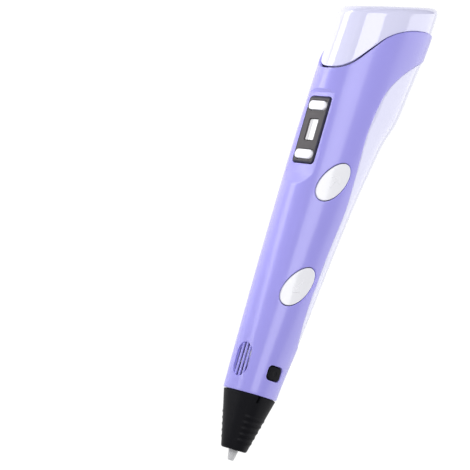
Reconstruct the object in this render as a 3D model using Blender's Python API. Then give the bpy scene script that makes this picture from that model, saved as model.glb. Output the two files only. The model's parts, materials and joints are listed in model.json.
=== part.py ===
"""A hand-held three-dimensional printing pen, built as an assembly of separate pieces.

The pen is drawn in its own frame, in millimetres: x points to the pen's right side, y to its
back and z from the nozzle's mouth to the cap. The empty named pen lays that frame on its left
side: the nozzle points along world +X, the control panel faces world -Y, and the right side,
with the two oval buttons, faces up. Every piece hangs from that empty. A moving piece hangs
from an empty of its own, which sits on its joint's axis.
"""
import math

import bmesh
import bpy
from mathutils import Matrix, Vector

MM = 0.001                   # metres in a millimetre
GAP = 0.3                    # clearance between neighbouring pieces
WALL = 1.8                   # moulded wall of the shells
AXIS_X = Vector((1, 0, 0))
AXIS_Y = Vector((0, 1, 0))
AXIS_Z = Vector((0, 0, 1))

# ---- The outer body -------------------------------------------------------------------------
# Each station: height along the pen, depth in front of the filament's line, depth behind it,
# half width, and the squareness of the rounded cross-section (2 is an ellipse).
STATIONS = (
    (20.0, 8.3, 8.0, 9.8, 2.8),
    (30.0, 8.3, 8.7, 10.3, 2.8),
    (50.0, 8.4, 11.6, 11.6, 2.6),
    (75.0, 8.5, 14.6, 13.0, 2.4),
    (100.0, 8.4, 18.1, 14.2, 2.3),
    (118.0, 8.2, 21.6, 14.9, 2.3),
    (127.0, 8.1, 23.8, 15.1, 2.3),
    (136.0, 8.0, 27.5, 15.3, 2.3),
    (150.0, 7.6, 29.9, 15.5, 2.3),
    (165.0, 6.8, 32.2, 15.6, 2.3),
    (180.0, 6.4, 33.3, 15.6, 2.3),
    (195.0, 6.2, 33.6, 15.6, 2.3),
)
RING_POINTS = 32             # corners of one outer cross-section
INNER_POINTS = 20            # corners of one inner cross-section
NOSE = 24.8                  # lower end of the coloured shell
BODY_LEVELS = (NOSE, 30, 37, 45, 55, 67, 79, 91, 103, 114, 122, 127, 130, 133, 136, 142, 151, 161, 171,
               176)
SPINE_LEVELS = (40, 47, 55, 67, 79, 91, 103, 114, 122, 127, 130, 133, 136, 142, 151, 161, 168)
INNER_LEVELS = (20, 30, 45, 60, 80, 100, 116, 127, 136, 150, 165, 185)

# The slanted end of the cap: height at the filament's line, and rise per millimetre backwards.
END_HEIGHT = 173.6
END_SLOPE = 0.35
RIM_RADIUS = 3.2
CAP_INSET = 0.6              # the cap sits this far inside the coloured shell's surface
SPINE_INSET = 0.25

# Seams seen from the side, as (back, up) points of a smooth curve.
CAP_SEAM = ((-12.0, 146.0), (-8.0, 146.7), (-4.8, 150.1), (-0.4, 157.0), (4.9, 163.7), (12.5, 168.4),
            (21.5, 171.2), (30.0, 172.3), (40.0, 173.0))
SPINE_SEAM = ((40.0, 165.0), (27.0, 161.2), (18.5, 155.5), (12.0, 148.0), (8.6, 140.0), (6.7, 126.0),
              (7.5, 109.0), (7.9, 97.0), (6.3, 82.0), (5.2, 62.0), (5.9, 51.0), (8.6, 45.0), (18.0, 41.5))

# ---- Control panel --------------------------------------------------------------------------
FACET = 6.95                 # depth of the flat that the panel lies in
FACET_TOP = 137.6
FACET_BOTTOM = 106.5
SLOPE_DEPTH = 14.0           # the facet's sloped ends are drawn up to this depth
TOP_SLOPE_RUN = 9.8          # and run this far along the pen on their way there
BOTTOM_SLOPE_RUN = 18.5
PANEL = (11.2, 25.2)
PANEL_CORNER = 1.2
PANEL_HEIGHT = 123.2
PANEL_FACE = 7.05
PANEL_THICKNESS = 1.4
WINDOW = (5.0, 8.5)
PILL = (9.2, 3.5)
PILL_HEIGHTS = {"temp_up": 132.4, "temp_down": 113.8}
PILL_TOP = 7.75
PILL_TRAVEL = 0.5
BOARD_FRONT = 3.3            # front face of the display board
BOARD_THICKNESS = 1.0

# ---- Oval side buttons ----------------------------------------------------------------------
OVAL_TILT = math.radians(22.0)      # how far the buttons' axis leans from the side to the front
OVAL_SIZE = (8.3, 4.35)             # half axes
OVAL_LEAN = math.radians(-27.0)     # the long axis leans to the back as it rises
OVAL_CENTRES = {"retract": (106.0, -0.9), "feed": (66.2, -2.1)}   # (up, back)
OVAL_TRAVEL = 0.6
MAIN_BOARD = (5.6, 6.6)             # inner and outer faces, measured along the buttons' axis

# ---- Nose -----------------------------------------------------------------------------------
COVER_BOTTOM = 3.9
COVER_TOP = NOSE - GAP
COVER_MOUTH = 4.7                   # radius at the lower end
COVER_SHOULDER = (8.0, 8.1, 9.75, 2.7)
GRIP_RIBS = (7.5, 9.7, 11.9, 14.1, 16.3)
GRIP_HEIGHT = 0.3
LATCH_PAD = (5.7, 4.9)              # back-to-front width and height
LATCH_CENTRE = (-0.25, 33.85)       # (back, up)
LATCH_PIVOT = (6.5, 21.6)           # (out, up)
VENT = (7.6, 29.8, 42.4)            # width, lower end, upper end
VENT_RIBS = (-1.95, 0.0, 1.95)
VENT_FLOOR = 7.8                    # depth of the vent's sunken face
VENT_MARGIN = 0.15                  # between the slots' ends and the vent's outline
RIB_HALF_WIDTH = 0.4

# ---- Feed drive -----------------------------------------------------------------------------
DRIVE_HEIGHT = 96.0
WHEEL_RADIUS = 3.4
WHEEL_TEETH = 16
IDLER_RADIUS = 2.5
FILAMENT_GAP = 0.85                 # half of the pinch between wheel and idler
WORM_RADIUS = 1.9
WHEEL_BACK = FILAMENT_GAP + WHEEL_RADIUS
WORM_BACK = WHEEL_BACK + WHEEL_RADIUS + GAP + WORM_RADIUS
IDLER_BACK = -(FILAMENT_GAP + IDLER_RADIUS)
IDLER_PIVOT = 104.0
MOTOR = (12.0, 10.0)                # width and depth of the geared motor

# ---- Fan ------------------------------------------------------------------------------------
FAN_HEIGHT = 36.0
FAN_SIZE = 10.0

# ---- Cap fittings ---------------------------------------------------------------------------
SOCKET_BACK = 19.0
SOCKET_RADIUS = 4.0

# How the pen lies: turned onto its left side, with the nose lifted by the belly's curve.
REST_PITCH = math.radians(2.3)

COLOURS = {
    "lilac": ((0.40, 0.34, 0.78), 0.38, 0.0),
    "white": ((0.86, 0.85, 0.93), 0.16, 0.0),
    "bezel": ((0.11, 0.10, 0.12), 0.45, 0.0),
    "glass": ((0.72, 0.73, 0.74), 0.12, 0.0),
    "black": ((0.02, 0.02, 0.023), 0.50, 0.0),
    "ceramic": ((0.78, 0.77, 0.75), 0.40, 0.0),
    "steel": ((0.62, 0.62, 0.64), 0.30, 1.0),
    "brass": ((0.72, 0.55, 0.25), 0.32, 1.0),
    "board": ((0.03, 0.22, 0.10), 0.50, 0.0),
    "tube": ((0.85, 0.85, 0.83), 0.45, 0.0),
}


def clear_scene():
    for item in list(bpy.data.objects):
        bpy.data.objects.remove(item, do_unlink=True)


def material(slot):
    """One Principled material for each colour, made the first time it is asked for."""
    found = bpy.data.materials.get(slot)
    if found:
        return found
    colour, roughness, metallic = COLOURS[slot]
    made = bpy.data.materials.new(slot)
    made.use_nodes = True
    shader = made.node_tree.nodes["Principled BSDF"]
    shader.inputs["Base Color"].default_value = (*colour, 1.0)
    shader.inputs["Roughness"].default_value = roughness
    shader.inputs["Metallic"].default_value = metallic
    return made


# ---- Curves and cross-sections --------------------------------------------------------------
def hermite(low, high, low_slope, high_slope, t):
    square = t * t
    cube = square * t
    return ((2 * cube - 3 * square + 1) * low + (cube - 2 * square + t) * low_slope
            + (3 * square - 2 * cube) * high + (cube - square) * high_slope)


def smooth_row(rows, place):
    """Values of a table whose first column rises, read by smooth interpolation at place."""
    last = len(rows) - 2
    index = 0
    while index < last and place > rows[index + 1][0]:
        index += 1
    low, high = rows[index], rows[index + 1]
    before = rows[max(index - 1, 0)]
    after = rows[min(index + 2, len(rows) - 1)]
    span = high[0] - low[0]
    t = min(max((place - low[0]) / span, 0.0), 1.0)
    values = []
    for column in range(1, len(low)):
        low_slope = (high[column] - before[column]) / (high[0] - before[0]) * span
        high_slope = (after[column] - low[column]) / (after[0] - low[0]) * span
        values.append(hermite(low[column], high[column], low_slope, high_slope, t))
    return values


def smooth_path(points, steps):
    """A smooth curve through 2-D points, with the given number of steps in each stretch."""
    path = []
    for index in range(len(points) - 1):
        low, high = Vector(points[index]), Vector(points[index + 1])
        before = Vector(points[max(index - 1, 0)])
        after = Vector(points[min(index + 2, len(points) - 1)])
        for step in range(steps):
            t = step / steps
            path.append(hermite(low, high, (high - before) / 2, (after - low) / 2, t))
    path.append(Vector(points[-1]))
    return path


def offset_path(path, distance):
    """The path moved sideways, to its left when the distance is positive."""
    moved = []
    for index, point in enumerate(path):
        along = path[min(index + 1, len(path) - 1)] - path[max(index - 1, 0)]
        side = Vector((-along.y, along.x)).normalized()
        moved.append(point + side * distance)
    return moved


def rounded_point(angle, half_width, half_depth, squareness):
    power = 2.0 / squareness
    across, along = math.sin(angle), -math.cos(angle)
    return (half_width * math.copysign(abs(across) ** power, across),
            half_depth * math.copysign(abs(along) ** power, along))


def body_point(height, angle, inset):
    """A point of the body's surface, inset by a distance; angle 0 is the front's middle."""
    front, back, half_width, squareness = smooth_row(STATIONS, height)
    x, y = rounded_point(angle, half_width - inset, (front + back) / 2 - inset, squareness)
    return Vector((x, y + (back - front) / 2, height))


def end_height(back, drop):
    return END_HEIGHT + END_SLOPE * back - drop


def slanted_point(drop, angle, inset, wall_drop):
    """A point of the body's surface where it meets a plane parallel to the slanted end."""
    height = end_height(10.0, wall_drop)
    for _ in range(4):
        point = body_point(height, angle, inset)
        height = end_height(point.y, wall_drop)
    point.z = end_height(point.y, drop)
    return point


# ---- Mesh builders --------------------------------------------------------------------------
def finish_mesh(name, bm, slot, parent=None, origin=Vector((0, 0, 0)), smooth_angle=38.0):
    """Turn a bmesh in millimetres into a named object, with its origin where it is wanted."""
    bmesh.ops.translate(bm, vec=-origin, verts=bm.verts)
    bmesh.ops.scale(bm, vec=(MM, MM, MM), verts=bm.verts)
    bmesh.ops.recalc_face_normals(bm, faces=bm.faces)
    mesh = bpy.data.meshes.new(name)
    bm.to_mesh(mesh)
    bm.free()
    mesh.shade_smooth()
    mesh.set_sharp_from_angle(angle=math.radians(smooth_angle))
    made = bpy.data.objects.new(name, mesh)
    bpy.context.scene.collection.objects.link(made)
    if slot:
        mesh.materials.append(material(slot))
    made.parent = parent or bpy.data.objects["pen"]
    made.location = (origin - Vector(made.parent.get("place", (0, 0, 0)))) * MM
    return made


def loft_mesh(rings):
    """A closed solid through rings of equally many points, with flat ends."""
    bm = bmesh.new()
    loops = [[bm.verts.new(point) for point in ring] for ring in rings]
    count = len(loops[0])
    for low, high in zip(loops, loops[1:]):
        for index in range(count):
            follow = (index + 1) % count
            bm.faces.new((low[index], low[follow], high[follow], high[index]))
    bm.faces.new(list(reversed(loops[0])))
    bm.faces.new(loops[-1])
    return bm


def prism_mesh(outline, low, high, frame=Matrix.Identity(4)):
    """A flat outline in the frame's x and y, standing from low to high along the frame's z."""
    rings = [[frame @ Vector((x, y, level)) for x, y in outline] for level in (low, high)]
    return loft_mesh(rings)


def turned_mesh(profile, frame=Matrix.Identity(4), segments=20):
    """A closed profile of (radius, height) points turned about the frame's z axis."""
    bm = bmesh.new()
    columns = []
    for step in range(segments):
        angle = 2 * math.pi * step / segments
        columns.append([bm.verts.new(frame @ Vector((r * math.cos(angle), r * math.sin(angle), z)))
                        if r > 0 else None for r, z in profile])
    poles = {}
    for row, (r, z) in enumerate(profile):
        if r == 0:
            poles[row] = bm.verts.new(frame @ Vector((0, 0, z)))
    for step in range(segments):
        here, there = columns[step], columns[(step + 1) % segments]
        for row in range(len(profile)):
            follow = (row + 1) % len(profile)
            corners = [here[row], there[row], there[follow], here[follow]]
            corners = [poles.get(row if spot in (0, 1) else follow) if corner is None else corner
                       for spot, corner in enumerate(corners)]
            unique = list(dict.fromkeys(corners))
            if len(unique) > 2:
                bm.faces.new(unique)
    return bm


def tube_mesh(outer, bore, low, high, frame=Matrix.Identity(4), segments=20):
    return turned_mesh(((outer, low), (outer, high), (bore, high), (bore, low)), frame, segments)


def box_mesh(low, high):
    outline = ((low[0], low[1]), (high[0], low[1]), (high[0], high[1]), (low[0], high[1]))
    return prism_mesh(outline, low[2], high[2])


def rounded_outline(width, height, radius, steps=4):
    """A rectangle with round corners, centred on the origin."""
    points = []
    for corner in range(4):
        side_x = 1 if corner in (0, 3) else -1
        side_y = 1 if corner in (0, 1) else -1
        for step in range(steps + 1):
            angle = math.pi / 2 * (corner + step / steps)
            points.append((side_x * (width / 2 - radius) + radius * math.cos(angle),
                           side_y * (height / 2 - radius) + radius * math.sin(angle)))
    return points


def oval_outline(half_long, half_short, lean, count=28):
    points = []
    for step in range(count):
        angle = 2 * math.pi * step / count
        x, y = half_long * math.cos(angle), half_short * math.sin(angle)
        points.append((x * math.cos(lean) - y * math.sin(lean), x * math.sin(lean) + y * math.cos(lean)))
    return points


def body_mesh(inset, levels, count=RING_POINTS):
    turns = [2 * math.pi * (step + 0.5) / count for step in range(count)]
    return loft_mesh([[body_point(level, turn, inset) for turn in turns] for level in levels])


def slanted_mesh(inset, top_drop, rim, length, count=RING_POINTS):
    """The upper end of the body, closed by the slanted plane, with a rounded rim."""
    turns = [2 * math.pi * (step + 0.5) / count for step in range(count)]
    drops = [length, length * 0.62, length * 0.3, rim + top_drop]
    rings = [[slanted_point(drop, turn, inset, drop) for turn in turns] for drop in drops]
    steps = 4 if rim > 1 else 0
    for step in range(1, steps + 1):
        angle = math.pi / 2 * step / steps
        shrink = rim * (1 - math.cos(angle))
        drop = top_drop + rim * (1 - math.sin(angle))
        rings.append([slanted_point(drop, turn, inset + shrink, drop) for turn in turns])
    return loft_mesh(rings)


# ---- Frames ---------------------------------------------------------------------------------
def frame_facing(normal, up, place):
    """A frame at place whose z is the normal and whose x runs along the given direction."""
    z = Vector(normal).normalized()
    x = (Vector(up) - z * Vector(up).dot(z)).normalized()
    y = z.cross(x)
    made = Matrix((x, y, z)).transposed().to_4x4()
    made.translation = Vector(place)
    return made


FRONT_FRAME = frame_facing(-AXIS_Y, AXIS_X, (0, 0, 0))      # x right, y up, z to the front
SIDE_FRAME = frame_facing(AXIS_X, AXIS_Y, (0, 0, 0))        # x back, y up, z to the right
LEFT_FRAME = frame_facing(-AXIS_X, -AXIS_Y, (0, 0, 0))      # x front, y up, z to the left
OVAL_AXIS = Vector((math.cos(OVAL_TILT), -math.sin(OVAL_TILT), 0))
END_AXIS = Vector((0, -END_SLOPE, 1)).normalized()


def on_front(x, z):
    return Matrix.Translation((x, 0, z)) @ FRONT_FRAME


def oval_frame(name):
    """x up the pen, y to the front, z out of the button along its axis."""
    up, back = OVAL_CENTRES[name]
    front, rear, half_width, squareness = smooth_row(STATIONS, up)
    share = abs(back - (rear - front) / 2) / ((front + rear) / 2)
    out = half_width * (1 - share ** squareness) ** (1 / squareness)
    foot = Vector((out, back, up))
    return frame_facing(OVAL_AXIS, AXIS_Z, foot - OVAL_AXIS * foot.dot(OVAL_AXIS))


# ---- Putting pieces together ----------------------------------------------------------------
def make_empty(name, parent, place=(0, 0, 0)):
    made = bpy.data.objects.new(name, None)
    made.empty_display_size = 0.01
    bpy.context.scene.collection.objects.link(made)
    made.parent = parent
    made["place"] = place
    if parent:
        made.location = (Vector(place) - Vector(parent.get("place", (0, 0, 0)))) * MM
    return made


def apply_tool(target, tool_mesh, operation="DIFFERENCE"):
    """Add a Boolean with a tool that is kept as a hidden guide."""
    label = "{}_tool_{}".format(target.name, len(target.modifiers) + 1)
    tool = finish_mesh(label, tool_mesh, None)
    tool.hide_render = True
    tool.display_type = "WIRE"
    step = target.modifiers.new(label, "BOOLEAN")
    step.operation = operation
    step.object = tool
    step.solver = "EXACT"
    return tool


def side_region(seam, closing, gap):
    """A prism across the whole pen, bounded by a seam in side view and by closing points."""
    path = offset_path(smooth_path(seam, 4), gap)
    outline = [(point.x, point.y) for point in path] + list(closing)
    return prism_mesh(outline, -30, 30, SIDE_FRAME)


def screw_mesh(frame, length, head=1.5, shank=0.7):
    """A pan-head screw whose head ends at the frame's origin and whose shank runs along -z."""
    return turned_mesh(((0, 0.7), (head * 0.6, 0.65), (head, 0.3), (head, 0), (shank, 0),
                        (shank, -length), (0, -length - 0.4)), frame, 8)


# ---- The shells -----------------------------------------------------------------------------
def cap_region(gap):
    return side_region(CAP_SEAM, ((60, 173), (60, 240), (-60, 240), (-60, 146)), gap)


def spine_region(gap):
    return side_region(SPINE_SEAM, ((60, 41), (60, 165)), gap)


def stadium_half_length(x, width, length):
    """Half the height of an upright stadium at the distance x from its middle."""
    radius = width / 2
    return length / 2 - radius + math.sqrt(max(radius * radius - x * x, 0.0))


def slot_outline(low, high, width, length, steps=3):
    spots = [low + (high - low) * step / steps for step in range(steps + 1)]
    upper = [(x, stadium_half_length(x, width, length)) for x in reversed(spots)]
    lower = [(x, -stadium_half_length(x, width, length)) for x in spots]
    return lower + upper


def cut_vent(shell):
    width, low, high = VENT
    middle = (low + high) / 2
    place = on_front(0, middle)
    recess = rounded_outline(width, high - low, width / 2 - 0.01, 5)
    apply_tool(shell, prism_mesh(recess, VENT_FLOOR, 12, place))
    edges = [-width / 2 + VENT_MARGIN]
    for rib in VENT_RIBS:
        edges += [rib - RIB_HALF_WIDTH, rib + RIB_HALF_WIDTH]
    edges.append(width / 2 - VENT_MARGIN)
    for low_x, high_x in zip(edges[0::2], edges[1::2]):
        outline = slot_outline(low_x, high_x, width, high - low - 2 * VENT_MARGIN)
        apply_tool(shell, prism_mesh(outline, 4, 8.1, place))


def cut_panel_seat(shell):
    """The flat with sloped ends that the control panel lies in, and the panel's window."""
    outline = ((FACET_BOTTOM, FACET), (FACET_TOP, FACET), (FACET_TOP + TOP_SLOPE_RUN, SLOPE_DEPTH),
               (FACET_BOTTOM - BOTTOM_SLOPE_RUN, SLOPE_DEPTH))
    apply_tool(shell, prism_mesh(outline, -20, 20, frame_facing(AXIS_X, AXIS_Z, (0, 0, 0))))
    hole = rounded_outline(PANEL[0] + 2 * GAP, PANEL[1] + 2 * GAP, 1.4)
    apply_tool(shell, prism_mesh(hole, 4, 12, on_front(0, PANEL_HEIGHT)))


def post_mesh(place, low, high, radius=1.6, bore=0.75):
    return tube_mesh(radius, bore, low, high, place, 12)


def board_screw_places():
    """Frames of the main board's screws: z points outwards along the buttons' axis."""
    base = frame_facing(OVAL_AXIS, AXIS_Z, (0, 0, 0))
    return [base @ Matrix.Translation((height, -3.0, 0)) for height in (80.0, 91.0)]


def display_screw_places():
    return [on_front(side * 5.2, 138.2) for side in (-1, 1)]


def make_front_shell():
    shell = finish_mesh("front_shell", body_mesh(0.0, BODY_LEVELS), "lilac")
    apply_tool(shell, body_mesh(WALL, INNER_LEVELS, INNER_POINTS))
    apply_tool(shell, cap_region(0.0))
    apply_tool(shell, spine_region(0.0))
    for place in board_screw_places():
        apply_tool(shell, post_mesh(place, MAIN_BOARD[1] + GAP, 11.3), "UNION")
    for place in display_screw_places():
        apply_tool(shell, post_mesh(place, BOARD_FRONT + GAP, 6.6), "UNION")
    cut_vent(shell)
    cut_panel_seat(shell)
    for name in OVAL_CENTRES:
        outline = oval_outline(OVAL_SIZE[0] + GAP, OVAL_SIZE[1] + GAP, OVAL_LEAN)
        apply_tool(shell, prism_mesh(outline, 4, 20, oval_frame(name)))
    back, up = LATCH_CENTRE
    hole = rounded_outline(LATCH_PAD[0] + 2 * GAP, LATCH_PAD[1] + 2 * GAP, 1.3)
    apply_tool(shell, prism_mesh(hole, -20, 20, Matrix.Translation((0, back, up)) @ SIDE_FRAME))
    return shell


def make_spine_cover():
    spine = finish_mesh("spine_cover", body_mesh(SPINE_INSET, SPINE_LEVELS), "white")
    apply_tool(spine, body_mesh(WALL, INNER_LEVELS, INNER_POINTS))
    apply_tool(spine, spine_region(GAP), "INTERSECT")
    return spine


def make_top_cap():
    cap = finish_mesh("top_cap", slanted_mesh(CAP_INSET, 0.0, RIM_RADIUS, 34.0), "white")
    apply_tool(cap, slanted_mesh(CAP_INSET + WALL, 2.2, 1.5, 60.0, INNER_POINTS))
    apply_tool(cap, cap_region(GAP), "INTERSECT")
    apply_tool(cap, turned_mesh(((0, -8), (SOCKET_RADIUS + GAP, -8), (SOCKET_RADIUS + GAP, 8), (0, 8)),
                                socket_frame(), 24))
    apply_tool(cap, turned_mesh(((0, 160), (2.9, 160), (2.9, 190), (0, 190))))
    return cap


# ---- Cap fittings ---------------------------------------------------------------------------
def socket_frame():
    return frame_facing(END_AXIS, AXIS_X, (0, SOCKET_BACK, end_height(SOCKET_BACK, 0)))


def make_power_socket():
    barrel = ((SOCKET_RADIUS, -10), (SOCKET_RADIUS, -0.2), (3.1, -0.2), (3.1, -8.6), (1.4, -8.6),
              (1.4, -10))
    finish_mesh("power_socket", turned_mesh(barrel, socket_frame(), 24), "black")
    pin = ((0, -10.4), (1.05, -10.4), (1.05, -1.6), (0.7, -1.2), (0, -1.2))
    finish_mesh("power_socket_pin", turned_mesh(pin, socket_frame(), 12), "steel")


def make_filament_path():
    guide = finish_mesh("inlet_guide", tube_mesh(2.55, 1.1, 160, 182), "white")
    above = ((-60, end_height(-60, 0.15)), (60, end_height(60, 0.15)), (60, 240), (-60, 240))
    apply_tool(guide, prism_mesh(above, -20, 20, SIDE_FRAME))
    finish_mesh("filament_tube", tube_mesh(1.75, 1.05, 107.5, 159.7, segments=14), "tube")
    finish_mesh("throat_tube", tube_mesh(1.75, 1.05, 50.5, 84.5, segments=14), "tube")


# ---- Control panel --------------------------------------------------------------------------
def make_panel():
    place = on_front(0, PANEL_HEIGHT)
    back = PANEL_FACE - PANEL_THICKNESS
    plate = prism_mesh(rounded_outline(*PANEL, PANEL_CORNER), back, PANEL_FACE, place)
    panel = finish_mesh("control_panel", plate, "bezel")
    for height in PILL_HEIGHTS.values():
        hole = rounded_outline(PILL[0] + 2 * GAP, PILL[1] + 2 * GAP, (PILL[1] + 2 * GAP) / 2 - 0.05, 5)
        apply_tool(panel, prism_mesh(hole, 0, 12, on_front(0, height)))
    hole = rounded_outline(*WINDOW, 0.3, 1)
    apply_tool(panel, prism_mesh(hole, 0, 12, place))
    lens = rounded_outline(WINDOW[0] - 2 * GAP, WINDOW[1] - 2 * GAP, 0.3, 1)
    finish_mesh("display_lens", prism_mesh(lens, back + GAP, PANEL_FACE - 0.3, place), "glass")
    module = rounded_outline(11.0, 11.6, 0.4, 1)
    finish_mesh("display_module", prism_mesh(module, BOARD_FRONT + GAP, back - GAP, place), "glass")
    rear = BOARD_FRONT - BOARD_THICKNESS
    outline = rounded_outline(13.8, 28.6, 1.0, 2)
    sheet = prism_mesh(outline, rear, BOARD_FRONT, on_front(0, 125.9))
    board = finish_mesh("display_board", sheet, "board")
    for number, spot in enumerate(display_screw_places()):
        apply_tool(board, turned_mesh(((0, 0), (1.1, 0), (1.1, 5), (0, 5)), spot, 12))
        flip = spot @ Matrix.Translation((0, 0, rear - GAP)) @ Matrix.Rotation(math.pi, 4, "X")
        finish_mesh("display_screw_{}".format(number + 1), screw_mesh(flip, 2.2), "steel")
    for name, height in PILL_HEIGHTS.items():
        make_pill(name, height)


def make_pill(name, height):
    """A pill-shaped key with a wider foot under the panel, and the switch that it presses."""
    place = on_front(0, height)
    holder = make_empty(name + "_axis", bpy.data.objects["pen"], (0, -PILL_TOP, height))
    foot_top = PANEL_FACE - PANEL_THICKNESS - GAP
    crown = rounded_outline(PILL[0], PILL[1], PILL[1] / 2 - 0.05, 5)
    middle = Vector((0, -PILL_TOP, height))
    cap = prism_mesh(crown, foot_top - 0.2, PILL_TOP, place)
    key = finish_mesh(name + "_button", cap, "white", holder, middle)
    foot = rounded_outline(PILL[0] + 1.2, PILL[1] + 1.1, 1.2, 2)
    apply_tool(key, prism_mesh(foot, foot_top - 0.4, foot_top, place), "UNION")
    switch_top = foot_top - 0.4 - PILL_TRAVEL - 0.05
    case = rounded_outline(3.6, 3.6, 0.4, 1)
    switch = prism_mesh(case, BOARD_FRONT + GAP, switch_top, place)
    finish_mesh(name + "_switch", switch, "steel")


# ---- Oval side buttons and main board ---------------------------------------------------------
def make_oval(name):
    up, _ = OVAL_CENTRES[name]
    place = oval_frame(name)
    levels = [up + step for step in (-14, -9, -5, 0, 5, 9, 14)]
    surface = place.translation + OVAL_AXIS * 11.0
    holder = make_empty(name + "_axis", bpy.data.objects["pen"], tuple(surface))
    crown = oval_outline(*OVAL_SIZE, OVAL_LEAN)
    key = finish_mesh(name + "_button", prism_mesh(crown, 3, 20, place), "white", holder, surface)
    apply_tool(key, body_mesh(-0.12, levels), "INTERSECT")
    flange = oval_outline(OVAL_SIZE[0] + 0.9, OVAL_SIZE[1] + 0.9, OVAL_LEAN)
    foot = finish_mesh(name + "_foot", prism_mesh(flange, 3, 20, place), None)
    foot.hide_render = True
    foot.display_type = "WIRE"
    apply_tool(foot, body_mesh(WALL + GAP, levels), "INTERSECT")
    join = key.modifiers.new("foot", "BOOLEAN")
    join.operation = "UNION"
    join.object = foot
    join.solver = "EXACT"
    apply_tool(key, body_mesh(WALL + GAP + 0.7, levels))
    switch_top = MAIN_BOARD[1] + GAP + 0.5
    stem_low = switch_top + OVAL_TRAVEL + 0.05
    stem_high = surface.dot(OVAL_AXIS) - 0.6
    stem = ((0, stem_low), (1.5, stem_low), (1.5, stem_high), (0, stem_high))
    apply_tool(key, turned_mesh(stem, place, 12), "UNION")
    case = rounded_outline(4.0, 4.0, 0.5, 1)
    finish_mesh(name + "_switch", prism_mesh(case, MAIN_BOARD[1] + GAP, switch_top, place), "steel")


def make_main_board():
    inner, outer = MAIN_BOARD
    base = frame_facing(OVAL_AXIS, AXIS_Z, (0, 0, 0))
    outline = ((58.0, -6.2), (110.2, -6.2), (110.2, 1.0), (58.0, 1.0))
    board = finish_mesh("main_board", prism_mesh(outline, inner, outer, base), "board")
    for number, spot in enumerate(board_screw_places()):
        apply_tool(board, turned_mesh(((0, 4), (1.1, 4), (1.1, 8), (0, 8)), spot, 12))
        flip = spot @ Matrix.Translation((0, 0, inner - GAP)) @ Matrix.Rotation(math.pi, 4, "X")
        finish_mesh("board_screw_{}".format(number + 1), screw_mesh(flip, 3.4), "steel")


# ---- Nose -----------------------------------------------------------------------------------
def cover_point(height, angle, inset):
    """The cover's surface: a round mouth that grows into the body's rounded square."""
    rise = (height - COVER_BOTTOM) / (COVER_TOP - COVER_BOTTOM)
    front, back, half_width, squareness = COVER_SHOULDER
    depth = COVER_MOUTH + ((front + back) / 2 - COVER_MOUTH) * rise
    width = COVER_MOUTH + (half_width - COVER_MOUTH) * rise
    x, y = rounded_point(angle, width - inset, depth - inset, 2 + (squareness - 2) * max(rise, 0.0))
    return Vector((x, y + (back - front) / 2 * rise, height))


def grip_window(angle):
    """One on the cover's two sides, none in front and behind."""
    return min(max((abs(math.sin(angle)) - 0.72) / 0.12, 0.0), 1.0)


def cover_mesh():
    turns = [2 * math.pi * (step + 0.5) / RING_POINTS for step in range(RING_POINTS)]
    levels = [(COVER_BOTTOM, 0.0)]
    for rib in GRIP_RIBS:
        levels += [(rib - 0.75, 0.0), (rib - 0.4, 1.0), (rib + 0.4, 1.0), (rib + 0.75, 0.0)]
    levels += [(20.0, 0.0), (COVER_TOP - 0.4, 0.0)]
    rings = [[cover_point(height, turn, -GRIP_HEIGHT * lift * grip_window(turn)) for turn in turns]
             for height, lift in levels]
    rings.append([cover_point(COVER_TOP, turn, 0.35) for turn in turns])
    return loft_mesh(rings)


def make_nozzle_cover():
    cover = finish_mesh("nozzle_cover", cover_mesh(), "black")
    neck_levels = (COVER_TOP - 1.5, 26, 28.2)
    apply_tool(cover, body_mesh(WALL + GAP, neck_levels, INNER_POINTS + 4), "UNION")
    turns = [2 * math.pi * (step + 0.5) / INNER_POINTS for step in range(INNER_POINTS)]
    levels = (COVER_BOTTOM + 1.0, 12, 18, 22)
    rings = [[cover_point(level, turn, 1.35) for turn in turns] for level in levels]
    rings += [[body_point(level, turn, WALL + GAP + 1.0) for turn in turns] for level in (24.2, 32)]
    apply_tool(cover, loft_mesh(rings))
    apply_tool(cover, turned_mesh(((0, 0), (2.3, 0), (2.3, 8), (0, 8))))
    back, _ = LATCH_CENTRE
    for side in (-1, 1):
        for reach, foot in ((7.8, 20.0), (14.0, COVER_TOP + 0.02)):
            near, far = sorted((side * 4.0, side * reach))
            apply_tool(cover, box_mesh((near, back - 3.3, foot), (far, back + 3.3, 32)))
        slit = frame_facing((side * 9.1, -3.1, 0), AXIS_Z, (0, 0, 0))
        apply_tool(cover, prism_mesh(rounded_outline(5.2, 0.9, 0.4, 3), 6.2, 14,
                                     slit @ Matrix.Translation((COVER_TOP, 0, 0))))
    return cover


def make_latch(name, side):
    """A springy arm inside the cover, with a pad that fills the shell's window."""
    back, up = LATCH_CENTRE
    out, pivot = LATCH_PIVOT
    holder = make_empty(name + "_axis", bpy.data.objects["pen"], (side * out, back, pivot))
    skin = smooth_row(STATIONS, up)[2] - 0.1
    frame = SIDE_FRAME if side > 0 else LEFT_FRAME
    place = Matrix.Translation((0, back, up)) @ frame
    origin = Vector((side * out, back, pivot))
    pad = prism_mesh(rounded_outline(*LATCH_PAD, 1.2), 7.4, skin, place)
    arm = finish_mesh(name, pad, "black", holder, origin)
    profile = ((out - 0.6, pivot - 1.2), (out + 0.35, pivot - 1.2), (out + 0.45, 23.5), (7.9, up - 3.2),
               (7.9, up + 3.0), (6.8, up + 3.0), (6.8, up - 3.2), (out - 0.6, 23.5))
    flat = frame_facing(AXIS_Y, AXIS_X * side, (0, back, 0))
    height_sign = flat.to_3x3().col[1].z
    outline = [(x, z * height_sign) for x, z in profile]
    apply_tool(arm, prism_mesh(outline, -2.6, 2.6, flat), "UNION")
    return arm


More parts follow.
